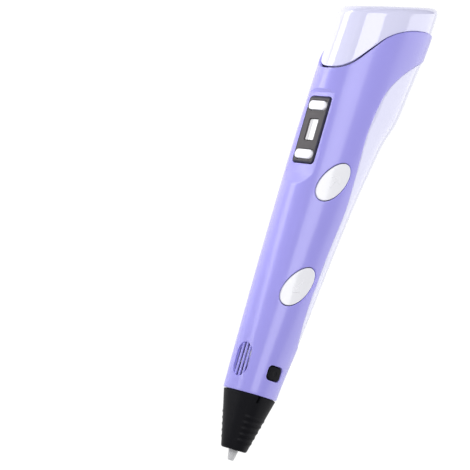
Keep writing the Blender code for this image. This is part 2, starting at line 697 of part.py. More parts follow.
def make_hot_end():
    tip = ((0.45, 0), (0.95, 0), (1.25, 0.9), (1.85, 4.2), (1.85, 5.3), (2.9, 5.3), (2.9, 12.4),
           (1.05, 12.4), (1.05, 2.2), (0.45, 1.2))
    finish_mesh("nozzle_tip", turned_mesh(tip, segments=20), "ceramic")
    finish_mesh("heater_barrel", tube_mesh(3.0, 1.05, 12.7, 29.0), "brass")
    fins = [(1.9, 29.3)]
    for level in range(5):
        low = 30.0 + level * 4.0
        fins += [(1.9, low), (3.1, low), (3.1, low + 1.6), (1.9, low + 1.6)]
    fins += [(1.9, 50.2), (1.05, 50.2), (1.05, 29.3)]
    finish_mesh("heat_sink", turned_mesh(fins, segments=12), "steel")


def make_fan():
    place = on_front(0, FAN_HEIGHT)
    square = rounded_outline(FAN_SIZE, FAN_SIZE, 1.0, 2)
    frame = finish_mesh("fan_frame", prism_mesh(square, 3.5, 5.8, place), "black")
    opening = ((0, 4.1), (4.5, 4.1), (4.5, 9), (0, 9))
    apply_tool(frame, turned_mesh(opening, place, 20))
    for side in (-1, 1):
        for rise in (-1, 1):
            corner = place @ Matrix.Translation((side * 2.35, rise * 2.35, 0))
            apply_tool(frame, prism_mesh(rounded_outline(3.4, 3.4, 1.4, 2), 2, 6, corner))
    holder = make_empty("fan_axis", bpy.data.objects["pen"], (0, -4.9, FAN_HEIGHT))
    hub = turned_mesh(((0, 4.4), (1.7, 4.4), (1.7, 5.5), (1.4, 5.7), (0, 5.7)), place, 14)
    rotor = finish_mesh("fan_rotor", hub, "black", holder, Vector((0, -4.9, FAN_HEIGHT)))
    blades = 7
    for blade in range(blades):
        turn = place @ Matrix.Rotation(2 * math.pi * blade / blades, 4, "Z")
        lean = turn @ Matrix.Translation((2.6, 0, 5.0)) @ Matrix.Rotation(math.radians(35), 4, "X")
        outline = ((-1.4, -0.9), (1.5, -1.0), (1.5, 1.0), (-1.4, 0.9))
        apply_tool(rotor, prism_mesh(outline, -0.15, 0.15, lean), "UNION")


# ---- Feed drive -----------------------------------------------------------------------------
def make_drive_housing():
    low, high = 85.0, 107.0
    housing = finish_mesh("drive_housing", box_mesh((-5.2, -1.9, low), (3.7, 13.0, high)), "white")
    apply_tool(housing, box_mesh((-3.1, -6.0, low + 2.0), (2.9, 12.1, high - 2.0)))
    for back, radius in ((0.0, 1.2), (WORM_BACK, 1.3)):
        spot = Matrix.Translation((0, back, 0))
        apply_tool(housing, turned_mesh(((0, 80), (radius, 80), (radius, 115), (0, 115)), spot, 14))
    lay = frame_facing(AXIS_X, AXIS_Z, (0, WHEEL_BACK, DRIVE_HEIGHT))
    apply_tool(housing, turned_mesh(((0, -4.4), (1.3, -4.4), (1.3, 8), (0, 8)), lay, 14))
    return housing


def make_motor():
    spot = Matrix.Translation((0, WORM_BACK, 0))
    finish_mesh("gearbox", prism_mesh(rounded_outline(*MOTOR, 0.6, 1), 107.3, 116.3, spot), "brass")
    can = rounded_outline(MOTOR[0], MOTOR[1], 4.9, 5)
    finish_mesh("drive_motor", prism_mesh(can, 116.6, 131.6, spot), "steel")


def make_worm():
    """A spindle with one helical thread, made of sections that turn as they rise."""
    low, high, pitch = 88.2, 103.8, 2.6
    holder = make_empty("worm_axis", bpy.data.objects["pen"], (0, WORM_BACK, DRIVE_HEIGHT))
    count = 10

    def ring(level, radius, thread):
        lead = 2 * math.pi * (level - low) / pitch
        points = []
        for step in range(count):
            angle = 2 * math.pi * step / count
            crest = max(math.cos(angle - lead), 0.0) ** 2
            reach = radius + thread * crest
            points.append(Vector((reach * math.cos(angle), WORM_BACK + reach * math.sin(angle), level)))
        return points

    steps = 24
    rings = [ring(85.6, 1.0, 0.0), ring(low - 0.3, 1.0, 0.0)]
    rings += [ring(low + (high - low) * step / steps, 1.3, WORM_RADIUS - 1.3) for step in range(steps + 1)]
    rings += [ring(high + 0.3, 1.0, 0.0), ring(107.0, 1.0, 0.0)]
    finish_mesh("worm", loft_mesh(rings), "steel", holder, Vector((0, WORM_BACK, DRIVE_HEIGHT)))


def make_feed_wheel():
    """A toothed wheel on a short shaft: the worm turns it and its teeth grip the filament."""
    place = frame_facing(AXIS_X, AXIS_Z, (0, WHEEL_BACK, DRIVE_HEIGHT))
    middle = Vector((0, WHEEL_BACK, DRIVE_HEIGHT))
    holder = make_empty("feed_wheel_axis", bpy.data.objects["pen"], tuple(middle))
    outline = []
    for tooth in range(WHEEL_TEETH):
        for share, reach in ((0.0, 0.86), (0.35, 0.86), (0.5, 1.0), (0.85, 1.0)):
            angle = 2 * math.pi * (tooth + share) / WHEEL_TEETH
            radius = WHEEL_RADIUS * reach
            outline.append((radius * math.cos(angle), radius * math.sin(angle)))
    wheel = finish_mesh("feed_wheel", prism_mesh(outline, -1.6, 1.6, place), "brass", holder, middle)
    shaft = ((0, -4.1), (1.0, -4.1), (1.0, 3.4), (0, 3.4))
    apply_tool(wheel, turned_mesh(shaft, place, 12), "UNION")


def make_idler():
    """The sprung arm on its pin, and the small roller that presses the filament to the wheel."""
    arm_holder = make_empty("idler_arm_axis", bpy.data.objects["pen"], (0, IDLER_BACK, IDLER_PIVOT))
    roller_holder = make_empty("idler_roller_axis", arm_holder, (0, IDLER_BACK, DRIVE_HEIGHT))
    pivot = Vector((0, IDLER_BACK, IDLER_PIVOT))
    lay = frame_facing(AXIS_X, AXIS_Z, (0, IDLER_BACK, 0))
    middle = (DRIVE_HEIGHT + IDLER_PIVOT) / 2
    plate = rounded_outline(IDLER_PIVOT - DRIVE_HEIGHT + 3.4, 3.2, 1.5, 4)
    bar = prism_mesh(plate, -3.0, -2.0, lay @ Matrix.Translation((middle, 0, 0)))
    arm = finish_mesh("idler_arm", bar, "black", arm_holder, pivot)
    axle = lay @ Matrix.Translation((DRIVE_HEIGHT, 0, 0))
    apply_tool(arm, turned_mesh(((0, -2.5), (0.8, -2.5), (0.8, 2.0), (0, 2.0)), axle, 12), "UNION")
    hub = lay @ Matrix.Translation((IDLER_PIVOT, 0, 0))
    apply_tool(arm, turned_mesh(((0, -4), (0.75, -4), (0.75, 4), (0, 4)), hub, 12))
    roller = tube_mesh(IDLER_RADIUS, 0.85, -1.6, 1.6, axle, 20)
    finish_mesh("idler_roller", roller, "steel", roller_holder, Vector((0, IDLER_BACK, DRIVE_HEIGHT)))
    finish_mesh("idler_pin", turned_mesh(((0, -3.9), (0.7, -3.9), (0.7, 2.6), (0, 2.6)), hub, 12), "steel")
    finish_mesh("idler_spring", tube_mesh(1.5, 1.0, -1.6, 1.8, hub, 16), "steel")


# ---- Lay the pen down -----------------------------------------------------------------------
def world_corners():
    """Corners, in world space, of every piece that is part of the pen."""
    bpy.context.view_layer.update()
    graph = bpy.context.evaluated_depsgraph_get()
    corners = []
    for item in bpy.data.objects:
        if item.type != "MESH" or item.hide_render:
            continue
        shown = item.evaluated_get(graph)
        corners += [shown.matrix_world @ vertex.co for vertex in shown.data.vertices]
    return corners


def lay_down(pen):
    """Turn the pen onto its left side and stand its box on the origin."""
    turn = Matrix.Rotation(REST_PITCH, 4, "Y") @ Matrix.Rotation(math.radians(-90), 4, "Y")
    pen.rotation_euler = turn.to_euler()
    corners = world_corners()
    lows = [min(corner[axis] for corner in corners) for axis in range(3)]
    highs = [max(corner[axis] for corner in corners) for axis in range(3)]
    pen.location = (-(lows[0] + highs[0]) / 2, -(lows[1] + highs[1]) / 2, -lows[2])


def main():
    clear_scene()
    pen = make_empty("pen", None)
    make_front_shell()
    make_spine_cover()
    make_top_cap()
    make_power_socket()
    make_filament_path()
    make_panel()
    make_main_board()
    for name in OVAL_CENTRES:
        make_oval(name)
    make_nozzle_cover()
    make_latch("release_latch_right", 1)
    make_latch("release_latch_left", -1)
    make_hot_end()
    make_fan()
    make_drive_housing()
    make_motor()
    make_worm()
    make_feed_wheel()
    make_idler()
    lay_down(pen)


main()
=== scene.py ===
"""The looks of a hand-held three-dimensional printing pen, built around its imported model.

Shapes are drawn in the pen's own frame, in millimetres: x points to the pen's right side, y to
its back and z from the nozzle's mouth to the cap. PEN carries them into the model's frame, in
metres. A moulded piece starts as a skin, which is trimmed along its outlines. Its open edges
are then rounded over and turned inwards, and an inner face closes it.
"""

import json
import math

import bmesh
import bpy
import numpy as np
from mathutils import Matrix, Vector


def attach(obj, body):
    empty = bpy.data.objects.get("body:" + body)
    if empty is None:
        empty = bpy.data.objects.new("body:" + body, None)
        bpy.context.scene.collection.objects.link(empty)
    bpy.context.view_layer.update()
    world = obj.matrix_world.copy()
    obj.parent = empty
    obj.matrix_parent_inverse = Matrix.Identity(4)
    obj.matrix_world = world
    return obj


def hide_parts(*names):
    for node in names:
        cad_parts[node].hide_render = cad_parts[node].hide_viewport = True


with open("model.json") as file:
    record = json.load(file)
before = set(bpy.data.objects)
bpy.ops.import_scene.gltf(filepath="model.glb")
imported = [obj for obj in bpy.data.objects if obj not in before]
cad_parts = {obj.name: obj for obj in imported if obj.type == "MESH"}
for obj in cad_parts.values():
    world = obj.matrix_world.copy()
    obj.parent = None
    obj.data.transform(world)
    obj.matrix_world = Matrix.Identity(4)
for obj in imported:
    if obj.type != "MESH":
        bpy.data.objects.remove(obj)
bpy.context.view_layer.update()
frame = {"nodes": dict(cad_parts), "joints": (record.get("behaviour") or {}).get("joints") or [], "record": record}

MM = 0.001
JOINTS = {joint["name"]: joint for joint in frame["joints"]}
BODY_OF = {node: body for body, nodes in frame["record"]["behaviour"]["bodies"].items() for node in nodes}
AXIS_X = Vector((1, 0, 0))
AXIS_Y = Vector((0, 1, 0))
AXIS_Z = Vector((0, 0, 1))

# ---- The pen's frame, from the feed drive's axes ----
RIGHT = Vector(JOINTS["feed_wheel_spin"]["axis"])
BACK = -Vector(JOINTS["fan_spin"]["axis"])
UP = Vector(JOINTS["worm_spin"]["axis"])
WORM_PLACE = Vector((0, 9.85, 96.0))
TURN = Matrix((RIGHT, BACK, UP)).transposed()
ORIGIN = Vector(JOINTS["worm_spin"]["pos_m"]) - TURN @ WORM_PLACE * MM
PEN = Matrix.Translation(ORIGIN) @ TURN.to_4x4() @ Matrix.Scale(MM, 4)

# ---- The outer body ----
# Each station: height along the pen, depth in front of the filament's line, depth behind it,
# half width, and the squareness of the rounded cross-section (2 is an ellipse).
STATIONS = (
    (20.0, 8.3, 8.0, 9.8, 2.8),
    (30.0, 8.3, 8.7, 10.3, 2.8),
    (50.0, 8.4, 11.6, 11.6, 2.6),
    (75.0, 8.5, 14.6, 13.0, 2.4),
    (100.0, 8.4, 18.1, 14.2, 2.3),
    (118.0, 8.2, 21.6, 14.9, 2.3),
    (127.0, 8.1, 23.8, 15.1, 2.3),
    (136.0, 8.0, 27.5, 15.3, 2.3),
    (150.0, 7.6, 29.9, 15.5, 2.3),
    (165.0, 6.8, 32.2, 15.6, 2.3),
    (180.0, 6.4, 33.3, 15.6, 2.3),
    (195.0, 6.2, 33.6, 15.6, 2.3),
)
SOLID_INSET = 0.09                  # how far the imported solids' flat faces lie inside the true curve
RING_POINTS = 112
LEVEL_STEP = 1.0
NOSE = 24.8                         # lower end of the coloured shell
GAP = 0.3                           # clearance between neighbouring pieces
SHELL_DEPTH = 1.5                   # wall shown where a shell ends
EDGE = 0.25                         # radius of a moulded edge
SEAM_EDGE = 0.2
FINE_EDGE = 0.12
END_HEIGHT = 173.6                  # the cap's slanted end, at the filament's line
END_SLOPE = 0.35
RIM_RADIUS = 3.2
CAP_INSET = 0.6
SPINE_INSET = 0.25
CAP_SEAM = ((-12.0, 146.0), (-8.0, 146.7), (-4.8, 150.1), (-0.4, 157.0), (4.9, 163.7), (12.5, 168.4),
            (21.5, 171.2), (30.0, 172.3), (40.0, 173.0))
SPINE_SEAM = ((40.0, 165.0), (27.0, 161.2), (18.5, 155.5), (12.0, 148.0), (8.6, 140.0), (6.7, 126.0),
              (7.5, 109.0), (7.9, 97.0), (6.3, 82.0), (5.2, 62.0), (5.9, 51.0), (8.6, 45.0), (18.0, 41.5))

# ---- Control panel ----
FACET = 6.6
FACET_TOP = 137.6
FACET_BOTTOM = 106.5
TOP_SLOPE = 1.0                     # how fast the facet's ends rise to the surface
BOTTOM_SLOPE = 0.38
TOP_BEND = 0.06                     # how softly those ends start
BOTTOM_BEND = 0.5
PANEL = (11.2, 25.2, 1.2)           # width, height and corner radius
PANEL_HEIGHT = 123.2
PANEL_FACE = 7.05
PANEL_DEPTH = 1.4
WINDOW = (5.0, 8.5, 0.3)
LENS_SUNK = 0.3
PILL = (9.2, 3.5, 1.7)
PILL_HEIGHTS = {"temp_up_button": 132.4, "temp_down_button": 113.8}
PILL_TOP = 7.75

# ---- Oval side buttons ----
OVAL_TILT = math.radians(22.0)
OVAL_SIZE = (8.3, 4.35)
OVAL_LEAN = math.radians(-27.0)
OVAL_CENTRES = {"retract_button": (106.0, -0.9), "feed_button": (66.2, -2.1)}    # (up, back)

# ---- Nose ----
COVER_BOTTOM = 3.9
COVER_TOP = NOSE - GAP
COVER_MOUTH = 4.7
COVER_BORE = 2.3
COVER_SHOULDER = (8.0, 8.1, 9.75, 2.7)
GRIP_RIBS = (7.5, 9.7, 11.9, 14.1, 16.3)
GRIP_HEIGHT = 0.3
LATCH_PAD = (5.7, 4.9, 1.2)
LATCH_CENTRE = (-0.25, 33.85)       # (back, up)
LATCH_PIVOT = (6.5, 21.6)           # (out, up)
LATCH_DOT = 0.9                     # radius of the sunk dot on the pad
LATCH_DOT_EDGE = 0.15
VENT = (7.6, 29.8, 42.4)            # width, lower end, upper end
VENT_RIBS = (-1.95, 0.0, 1.95)
VENT_FLOOR = 7.8
VENT_WALL = 0.6
SEAM_GAP = 0.12                     # what shows of the gap along a shell's seam
SLIT = (0.9, 5.2, 0.4)              # width, height and corner radius of the cover's slits
SLIT_FRONT = 3.1

# ---- Cap fittings: depths run from the slanted end into the cap ----
SOCKET_BACK = 19.0
SOCKET_RADIUS = 4.0
SOCKET_BORE = 3.1
SOCKET_DEPTH = 10.0
SOCKET_FLOOR = 8.6
PIN_HOLE = 1.4
PIN_RADIUS = 1.05
INLET_HOLE = 2.9
INLET_RADIUS = 2.55
INLET_BORE = 1.1
INLET_FOOT = 160.0                  # height at which the guide starts

FAR = 99.0                          # a distance that stands for nowhere near


# ---- Curves and cross-sections ----
def hermite(low, high, low_slope, high_slope, t):
    square = t * t
    cube = square * t
    return ((2 * cube - 3 * square + 1) * low + (cube - 2 * square + t) * low_slope
            + (3 * square - 2 * cube) * high + (cube - square) * high_slope)


def smooth_row(rows, place):
    """Values of a table whose first column rises, read by smooth interpolation at place."""
    last = len(rows) - 2
    index = 0
    while index < last and place > rows[index + 1][0]:
        index += 1
    low, high = rows[index], rows[index + 1]
    before = rows[max(index - 1, 0)]
    after = rows[min(index + 2, len(rows) - 1)]
    span = high[0] - low[0]
    t = min(max((place - low[0]) / span, 0.0), 1.0)
    values = []
    for column in range(1, len(low)):
        low_slope = (high[column] - before[column]) / (high[0] - before[0]) * span
        high_slope = (after[column] - low[column]) / (after[0] - low[0]) * span
        values.append(hermite(low[column], high[column], low_slope, high_slope, t))
    return values


TABLE_HEIGHTS = np.arange(STATIONS[0][0], STATIONS[-1][0], 0.25)
TABLE = np.array([smooth_row(STATIONS, height) for height in TABLE_HEIGHTS])
TABLE[:, :3] -= SOLID_INSET


def section(height):
    """Front depth, back depth, half width and squareness of the body at any heights."""
    return [np.interp(height, TABLE_HEIGHTS, TABLE[:, column]) for column in range(4)]


def smooth_path(points, steps=8):
    """A smooth curve through 2-D points, with the given number of steps in each stretch."""
    path = []
    for index in range(len(points) - 1):
        low, high = Vector(points[index]), Vector(points[index + 1])
        before = Vector(points[max(index - 1, 0)])
        after = Vector(points[min(index + 2, len(points) - 1)])
        for step in range(steps):
            path.append(hermite(low, high, (high - before) / 2, (after - low) / 2, step / steps))
    path.append(Vector(points[-1]))
    return [tuple(point) for point in path]


def signed_power(values, power):
    return np.sign(values) * np.abs(values) ** power


def even_turns(count, half_width=13.0, half_depth=12.0, squareness=2.4):
    """Turns around the pen, from its front to the right, at even steps along a cross-section."""
    fine = np.linspace(0, 2 * math.pi, 4001)
    x = half_width * signed_power(np.sin(fine), 2 / squareness)
    y = half_depth * signed_power(-np.cos(fine), 2 / squareness)
    length = np.concatenate([[0], np.cumsum(np.hypot(np.diff(x), np.diff(y)))])
    return np.interp((np.arange(count) + 0.5) / count * length[-1], length, fine)


def body_points(height, turns, inset):
    """Points of the body's surface, inset by a distance; turn 0 is the front's middle."""
    front, back, half_width, squareness = section(height)
    power = 2 / squareness
    x = (half_width - inset) * signed_power(np.sin(turns), power)
    y = ((front + back) / 2 - inset) * signed_power(-np.cos(turns), power) + (back - front) / 2
    return np.stack([x, y, height + 0 * x], axis=-1)


def body_reach(points, inset):
    """How far points lie from the body's middle line, as a share of the surface's distance."""
    front, back, half_width, squareness = section(points[:, 2])
    x = np.abs(points[:, 0] / (half_width - inset))
    y = np.abs((points[:, 1] - (back - front) / 2) / ((front + back) / 2 - inset))
    return (x ** squareness + y ** squareness) ** (1 / squareness)


def settle_on_body(inset):
    """A function that moves points straight out, or in, to the body's surface."""
    def settle(points):
        front, back, _, _ = section(points[:, 2])
        middle = (back - front) / 2
        reach = body_reach(points, inset)
        moved = points.copy()
        moved[:, 0] = points[:, 0] / reach
        moved[:, 1] = (points[:, 1] - middle) / reach + middle
        return moved
    return settle


def end_height(back, drop):
    return END_HEIGHT + END_SLOPE * back - drop


def slanted_points(drop, turns, inset):
    """Points of the body's surface where it meets a plane parallel to the slanted end."""
    height = np.full(turns.shape, end_height(10.0, drop))
    for _ in range(6):
        points = body_points(height, turns, inset)
        height = end_height(points[:, 1], drop)
    points[:, 2] = height
    return points


# ---- Signed distances: negative inside an outline ----
def box_distance(x, y, width, height, radius):
    across = np.abs(x) - width / 2 + radius
    along = np.abs(y) - height / 2 + radius
    outside = np.hypot(np.maximum(across, 0), np.maximum(along, 0))
    return outside + np.minimum(np.maximum(across, along), 0) - radius


def oval_distance(x, y, half_long, half_short):
    reach = np.hypot(x / half_long, y / half_short)
    slope = np.hypot(x / half_long ** 2, y / half_short ** 2)
    return reach * (reach - 1) / np.maximum(slope, 1e-6)


def segment_distance(x, y, start, end):
    """Distance from points to a straight stretch between two points."""
    along = np.array(end, float) - np.array(start, float)
    rel_x, rel_y = x - start[0], y - start[1]
    share = np.clip((rel_x * along[0] + rel_y * along[1]) / along.dot(along), 0, 1)
    return np.hypot(rel_x - share * along[0], rel_y - share * along[1])


def outline_distance(x, y, outline):
    """Signed distance from points to a closed outline of straight stretches."""
    nearest = np.full(x.shape, FAR)
    inside = np.zeros(x.shape, bool)
    for start, end in zip(outline, outline[1:] + outline[:1]):
        nearest = np.minimum(nearest, segment_distance(x, y, start, end))
        if start[1] != end[1]:
            crossing = (start[1] > y) != (end[1] > y)
            at_line = (end[0] - start[0]) * (y - start[1]) / (end[1] - start[1]) + start[0]
            inside ^= crossing & (x < at_line)
    return np.where(inside, -nearest, nearest)


CAP_OUTLINE = smooth_path(CAP_SEAM) + [(60, 173), (60, 240), (-60, 240), (-60, 146)]
SPINE_OUTLINE = smooth_path(SPINE_SEAM) + [(60, 41), (60, 165)]


def cap_side(points):
    return outline_distance(points[:, 1], points[:, 2], CAP_OUTLINE)


def spine_side(points):
    return outline_distance(points[:, 1], points[:, 2], SPINE_OUTLINE)


def on_front_face(points, distance):
    """Keep a distance drawn from the front to the front's half of the pen."""
    return np.where(points[:, 1] < 0, distance, FAR)


def vent_side(points):
    width, low, high = VENT
    distance = box_distance(points[:, 0], points[:, 2] - (low + high) / 2, width, high - low, width / 2)
    return on_front_face(points, distance)


def vent_slots():
    """One distance for each slot between the vent's ribs."""
    half_rib, side_margin, end_margin = 0.4, 0.15, 0.2
    width = VENT[0]
    edges = [-width / 2 + side_margin]
    for rib in VENT_RIBS:
        edges += [rib - half_rib, rib + half_rib]
    edges.append(width / 2 - side_margin)

    def slot(left, right):
        def distance(points):
            x = points[:, 0]
            strip = np.abs(x - (left + right) / 2) - (right - left) / 2
            return on_front_face(points, np.maximum(strip, vent_side(points) + end_margin))
        return distance
    return [slot(left, right) for left, right in zip(edges[0::2], edges[1::2])]


def grown_box(x, y, size, grow):
    width, height, radius = size
    return box_distance(x, y, width + 2 * grow, height + 2 * grow, radius + grow)


def front_box(height, size, grow=0.0):
    return lambda points: grown_box(points[:, 0], points[:, 2] - height, size, grow)


def panel_side(points):
    return on_front_face(points, front_box(PANEL_HEIGHT, PANEL, GAP)(points))


def latch_pad_side(points, grow=0.0):
    back, up = LATCH_CENTRE
    return grown_box(points[:, 1] - back, points[:, 2] - up, LATCH_PAD, grow)


def latch_side(points):
    return np.where(np.abs(points[:, 0]) > 5, latch_pad_side(points, GAP), FAR)


def outside_of(distance):
    return lambda points: -distance(points)


def facing(normal, up, place):
    """A frame at place whose z is the normal and whose x runs along the given direction."""
    z = Vector(normal).normalized()
    x = (Vector(up) - z * Vector(up).dot(z)).normalized()
    made = Matrix((x, z.cross(x), z)).transposed().to_4x4()
    made.translation = Vector(place)
    return made


FRONT_FRAME = facing(-AXIS_Y, AXIS_X, (0, 0, 0))        # x right, y up, z to the front
OVAL_AXIS = Vector((math.cos(OVAL_TILT), -math.sin(OVAL_TILT), 0))
END_AXIS = Vector((0, -END_SLOPE, 1)).normalized()


def on_front(height, depth=0.0):
    return Matrix.Translation((0, -depth, height)) @ FRONT_FRAME


def oval_frame(name):
    """x up the pen and z out of the button along its axis."""
    up, back = OVAL_CENTRES[name]
    front, rear, half_width, squareness = smooth_row(STATIONS, up)
    share = abs(back - (rear - front) / 2) / ((front + rear) / 2)
    foot = Vector((half_width * (1 - share ** squareness) ** (1 / squareness), back, up))
    return facing(OVAL_AXIS, AXIS_Z, foot - OVAL_AXIS * foot.dot(OVAL_AXIS))


def transformed(matrix, points):
    rotation = np.array(matrix.to_3x3())
    return points @ rotation.T + np.array(matrix.translation)


def leaning(x, y):
    """The same points measured along and across the ovals' long axis."""
    cosine, sine = math.cos(OVAL_LEAN), math.sin(OVAL_LEAN)
    return x * cosine + y * sine, y * cosine - x * sine


def oval_side(name):
    back_to_frame = oval_frame(name).inverted()

    def distance(points):
        local = transformed(back_to_frame, points)
        along, across = leaning(local[:, 0], local[:, 1])
        window = oval_distance(along, across, OVAL_SIZE[0] + GAP, OVAL_SIZE[1] + GAP)
        return np.where(local[:, 2] > 0, window, FAR)
    return distance


# ---- Skins ----
SNAP = 0.28             # share of an edge within which a corner moves onto a line that crosses it


def points_of(bm):
    return np.array([vertex.co[:] for vertex in bm.verts])


def place_points(bm, points):
    for vertex, point in zip(bm.verts, points):
        vertex.co = point


def centres_of(bm):
    return np.array([face.calc_center_median()[:] for face in bm.faces])


def number_at(bm, values):
    """Each corner's own value, from one value for each corner in order."""
    return dict(zip(bm.verts, (float(value) for value in values)))


def join_loops(bm, low, high, closed=True):
    """Faces between two rows of corners; closed joins their ends too."""
    count = len(low)
    for index in range(count if closed else count - 1):
        follow = (index + 1) % count
        bm.faces.new((low[index], low[follow], high[follow], high[index]))


def skin_mesh(rows, closed=True):
    """A skin through rows of points; closed joins the last column to the first."""
    bm = bmesh.new()
    bm.verts.layers.int.new("held")
    bm.verts.layers.float.new("edge_radius")
    loops = [[bm.verts.new(point) for point in row] for row in rows]
    for low, high in zip(loops, loops[1:]):
        join_loops(bm, low, high, closed)
    return bm


def refine(bm, distance, reach, settle):
    """Halve the faces near a line, and settle the new corners on the surface."""
    near = np.abs(distance(centres_of(bm))) < reach
    edges = {edge for face, wanted in zip(bm.faces, near) if wanted for edge in face.edges}
    bmesh.ops.subdivide_edges(bm, edges=list(edges), cuts=1, use_grid_fill=True)
    if settle:
        place_points(bm, settle(points_of(bm)))


def snap_corners(bm, value, held):
    """Move corners that a line nearly touches onto it."""
    for edge in bm.edges:
        near, far = edge.verts
        if value[near] * value[far] >= 0:
            continue
        share = value[near] / (value[near] - value[far])
        if share > 0.5:
            near, far, share = far, near, 1 - share
        if share < SNAP and not near[held] and (edge.is_boundary or not near.is_boundary):
            near.co = near.co.lerp(far.co, share)
            near[held] = 1
            value[near] = 0.0


def split_face(face, value):
    """Split a face along the line that crosses it, as often as the line does."""
    corners = list(face.verts)
    count = len(corners)
    values = [value[corner] for corner in corners]
    if min(values) >= 0 or max(values) <= 0:
        return
    for start in range(count):
        if values[start] != 0:
            continue
        run = 1
        while values[(start + run) % count] != 0:
            run += 1
        if 2 <= run <= count - 2:
            made, _ = bmesh.utils.face_split(face, corners[start], corners[(start + run) % count])
            split_face(face, value)
            split_face(made, value)
            return


def conform(bm, distance, level=0.0):
    """Bring edges of the mesh onto the line where the distance equals level; gives its corners."""
    held = bm.verts.layers.int["held"]
    value = number_at(bm, distance(points_of(bm)) - level)
    snap_corners(bm, value, held)
    for edge in list(bm.edges):
        near, far = edge.verts
        if value[near] * value[far] < 0:
            _, made = bmesh.utils.edge_split(edge, near, value[near] / (value[near] - value[far]))
            made[held] = 1
            value[made] = 0.0
    for face in list(bm.faces):
        split_face(face, value)
    return [vertex for vertex, number in value.items() if number == 0.0]


def trim(bm, distance, radius=EDGE, level=0.0):
    """Remove what lies inside an outline, leaving room to round the edge that is left."""
    on_line = conform(bm, distance, level + radius)
    outside = distance(centres_of(bm)) - level - radius > 0
    unwanted = [face for face, kept in zip(bm.faces, outside) if not kept]
    marked = bm.verts.layers.float["edge_radius"]
    for vertex in on_line:
        vertex[marked] = radius
    bmesh.ops.delete(bm, geom=unwanted, context="FACES")


def rim_directions(rim, inward):
    """For each corner of the open edges, the way out of the skin across its wall's direction."""
    sides = {}
    for edge in rim:
        loop = edge.link_loops[0]
        along = loop.link_loop_next.vert.co - loop.vert.co
        side = along.cross(loop.face.normal).normalized()
        for vertex in edge.verts:
            sides.setdefault(vertex, []).append(side)
    directions = {}
    for vertex, found in sides.items():
        total = sum(found, Vector())
        total -= inward[vertex] * total.dot(inward[vertex])
        miter = min(len(found) / max(total.length, 0.1), 1.5)
        directions[vertex] = total.normalized() * miter
    return directions


def close_skin(bm, depth=SHELL_DEPTH, radius=EDGE, steps=3, thin_side=None, thin_depth=0.0,
               guided=None):
    """Round the open edges over, turn them inwards and close the skin with an inner face.

    The wall is thinner where thin_side is negative. It runs along the skin's own normal, except
    where guided gives another direction out of the skin.
    """
    bm.normal_update()
    inward = {vertex: -vertex.normal for vertex in bm.verts}
    if guided:
        for vertex, out in zip(bm.verts, guided(points_of(bm))):
            if out.any():
                inward[vertex] = -Vector(out)
    depth_of = dict.fromkeys(bm.verts, depth)
    if thin_side:
        share = np.clip(0.5 - thin_side(points_of(bm)), 0, 1)
        depth_of = number_at(bm, depth + (thin_depth - depth) * share)
    marked = bm.verts.layers.float["edge_radius"]
    rim = [edge for edge in bm.edges if edge.is_boundary]
    directions = rim_directions(rim, inward)
    skin = list(bm.faces)
    inner = {}
    for vertex in list(bm.verts):
        inner[vertex] = bm.verts.new(vertex.co + inward[vertex] * depth_of[vertex])
    ladders = {}
    for vertex, out in directions.items():
        reach = vertex[marked] or radius
        ladder = [vertex]
        for step in range(1, steps + 1):
            angle = math.pi / 2 * step / steps
            drop = inward[vertex] * reach * (1 - math.cos(angle))
            ladder.append(bm.verts.new(vertex.co + out * reach * math.sin(angle) + drop))
        ladder.append(bm.verts.new(vertex.co + out * reach + inward[vertex] * depth_of[vertex]))
        ladder.append(inner[vertex])
        ladders[vertex] = ladder
    for edge in rim:
        loop = edge.link_loops[0]
        start, end = ladders[loop.vert], ladders[loop.link_loop_next.vert]
        for rung in range(len(start) - 1):
            bm.faces.new((end[rung], start[rung], start[rung + 1], end[rung + 1]))
    for face in skin:
        bm.faces.new([inner[vertex] for vertex in reversed(face.verts)])


# ---- Closed solids ----
def loft_mesh(rings, closed_profile=False, bm=None):
    """A solid through rings of equally many points, with flat ends, or a ring of rings."""
    bm = bm or bmesh.new()
    loops = [[bm.verts.new(point) for point in ring] for ring in rings]
    pairs = list(zip(loops, loops[1:]))
    if closed_profile:
        pairs.append((loops[-1], loops[0]))
    else:
        bm.faces.new(list(reversed(loops[0])))
        bm.faces.new(loops[-1])
    for low, high in pairs:
        join_loops(bm, low, high)
    return bm


def circle(radius, height, count, frame_of=Matrix.Identity(4)):
    points = []
    for step in range(count):
        turn = 2 * math.pi * step / count
        points.append(frame_of @ Vector((radius * math.cos(turn), radius * math.sin(turn), height)))
    return points


def rounded_profile(profile, radius=0.12, steps=3):
    """A closed outline of (radius, height) points with its corners cut to small arcs."""
    points = []
    count = len(profile)
    for index in range(count):
        corner = Vector(profile[index])
        before = Vector(profile[index - 1]) - corner
        after = Vector(profile[(index + 1) % count]) - corner
        reach = min(radius, before.length * 0.4, after.length * 0.4)
        start = corner + before.normalized() * reach
        end = corner + after.normalized() * reach
        for step in range(steps + 1):
            t = step / steps
            points.append(start * (1 - t) ** 2 + corner * 2 * t * (1 - t) + end * t * t)
    return points


def turned_mesh(profile, frame_of=Matrix.Identity(4), count=64, bm=None):
    """A closed profile, clear of the axis, turned about the frame's z."""
    rings = [circle(point[0], point[1], count, frame_of) for point in profile]
    return loft_mesh(rings, closed_profile=True, bm=bm)


def rounded_outline(width, height, radius, steps=8):
    """A rectangle with round corners, centred on the origin."""
    points = []
    for corner in range(4):
        side_x = 1 if corner in (0, 3) else -1
        side_y = 1 if corner in (0, 1) else -1
        for step in range(steps + 1):
            angle = math.pi / 2 * (corner + step / steps)
            points.append((side_x * (width / 2 - radius) + radius * math.cos(angle),
                           side_y * (height / 2 - radius) + radius * math.sin(angle)))
    return points


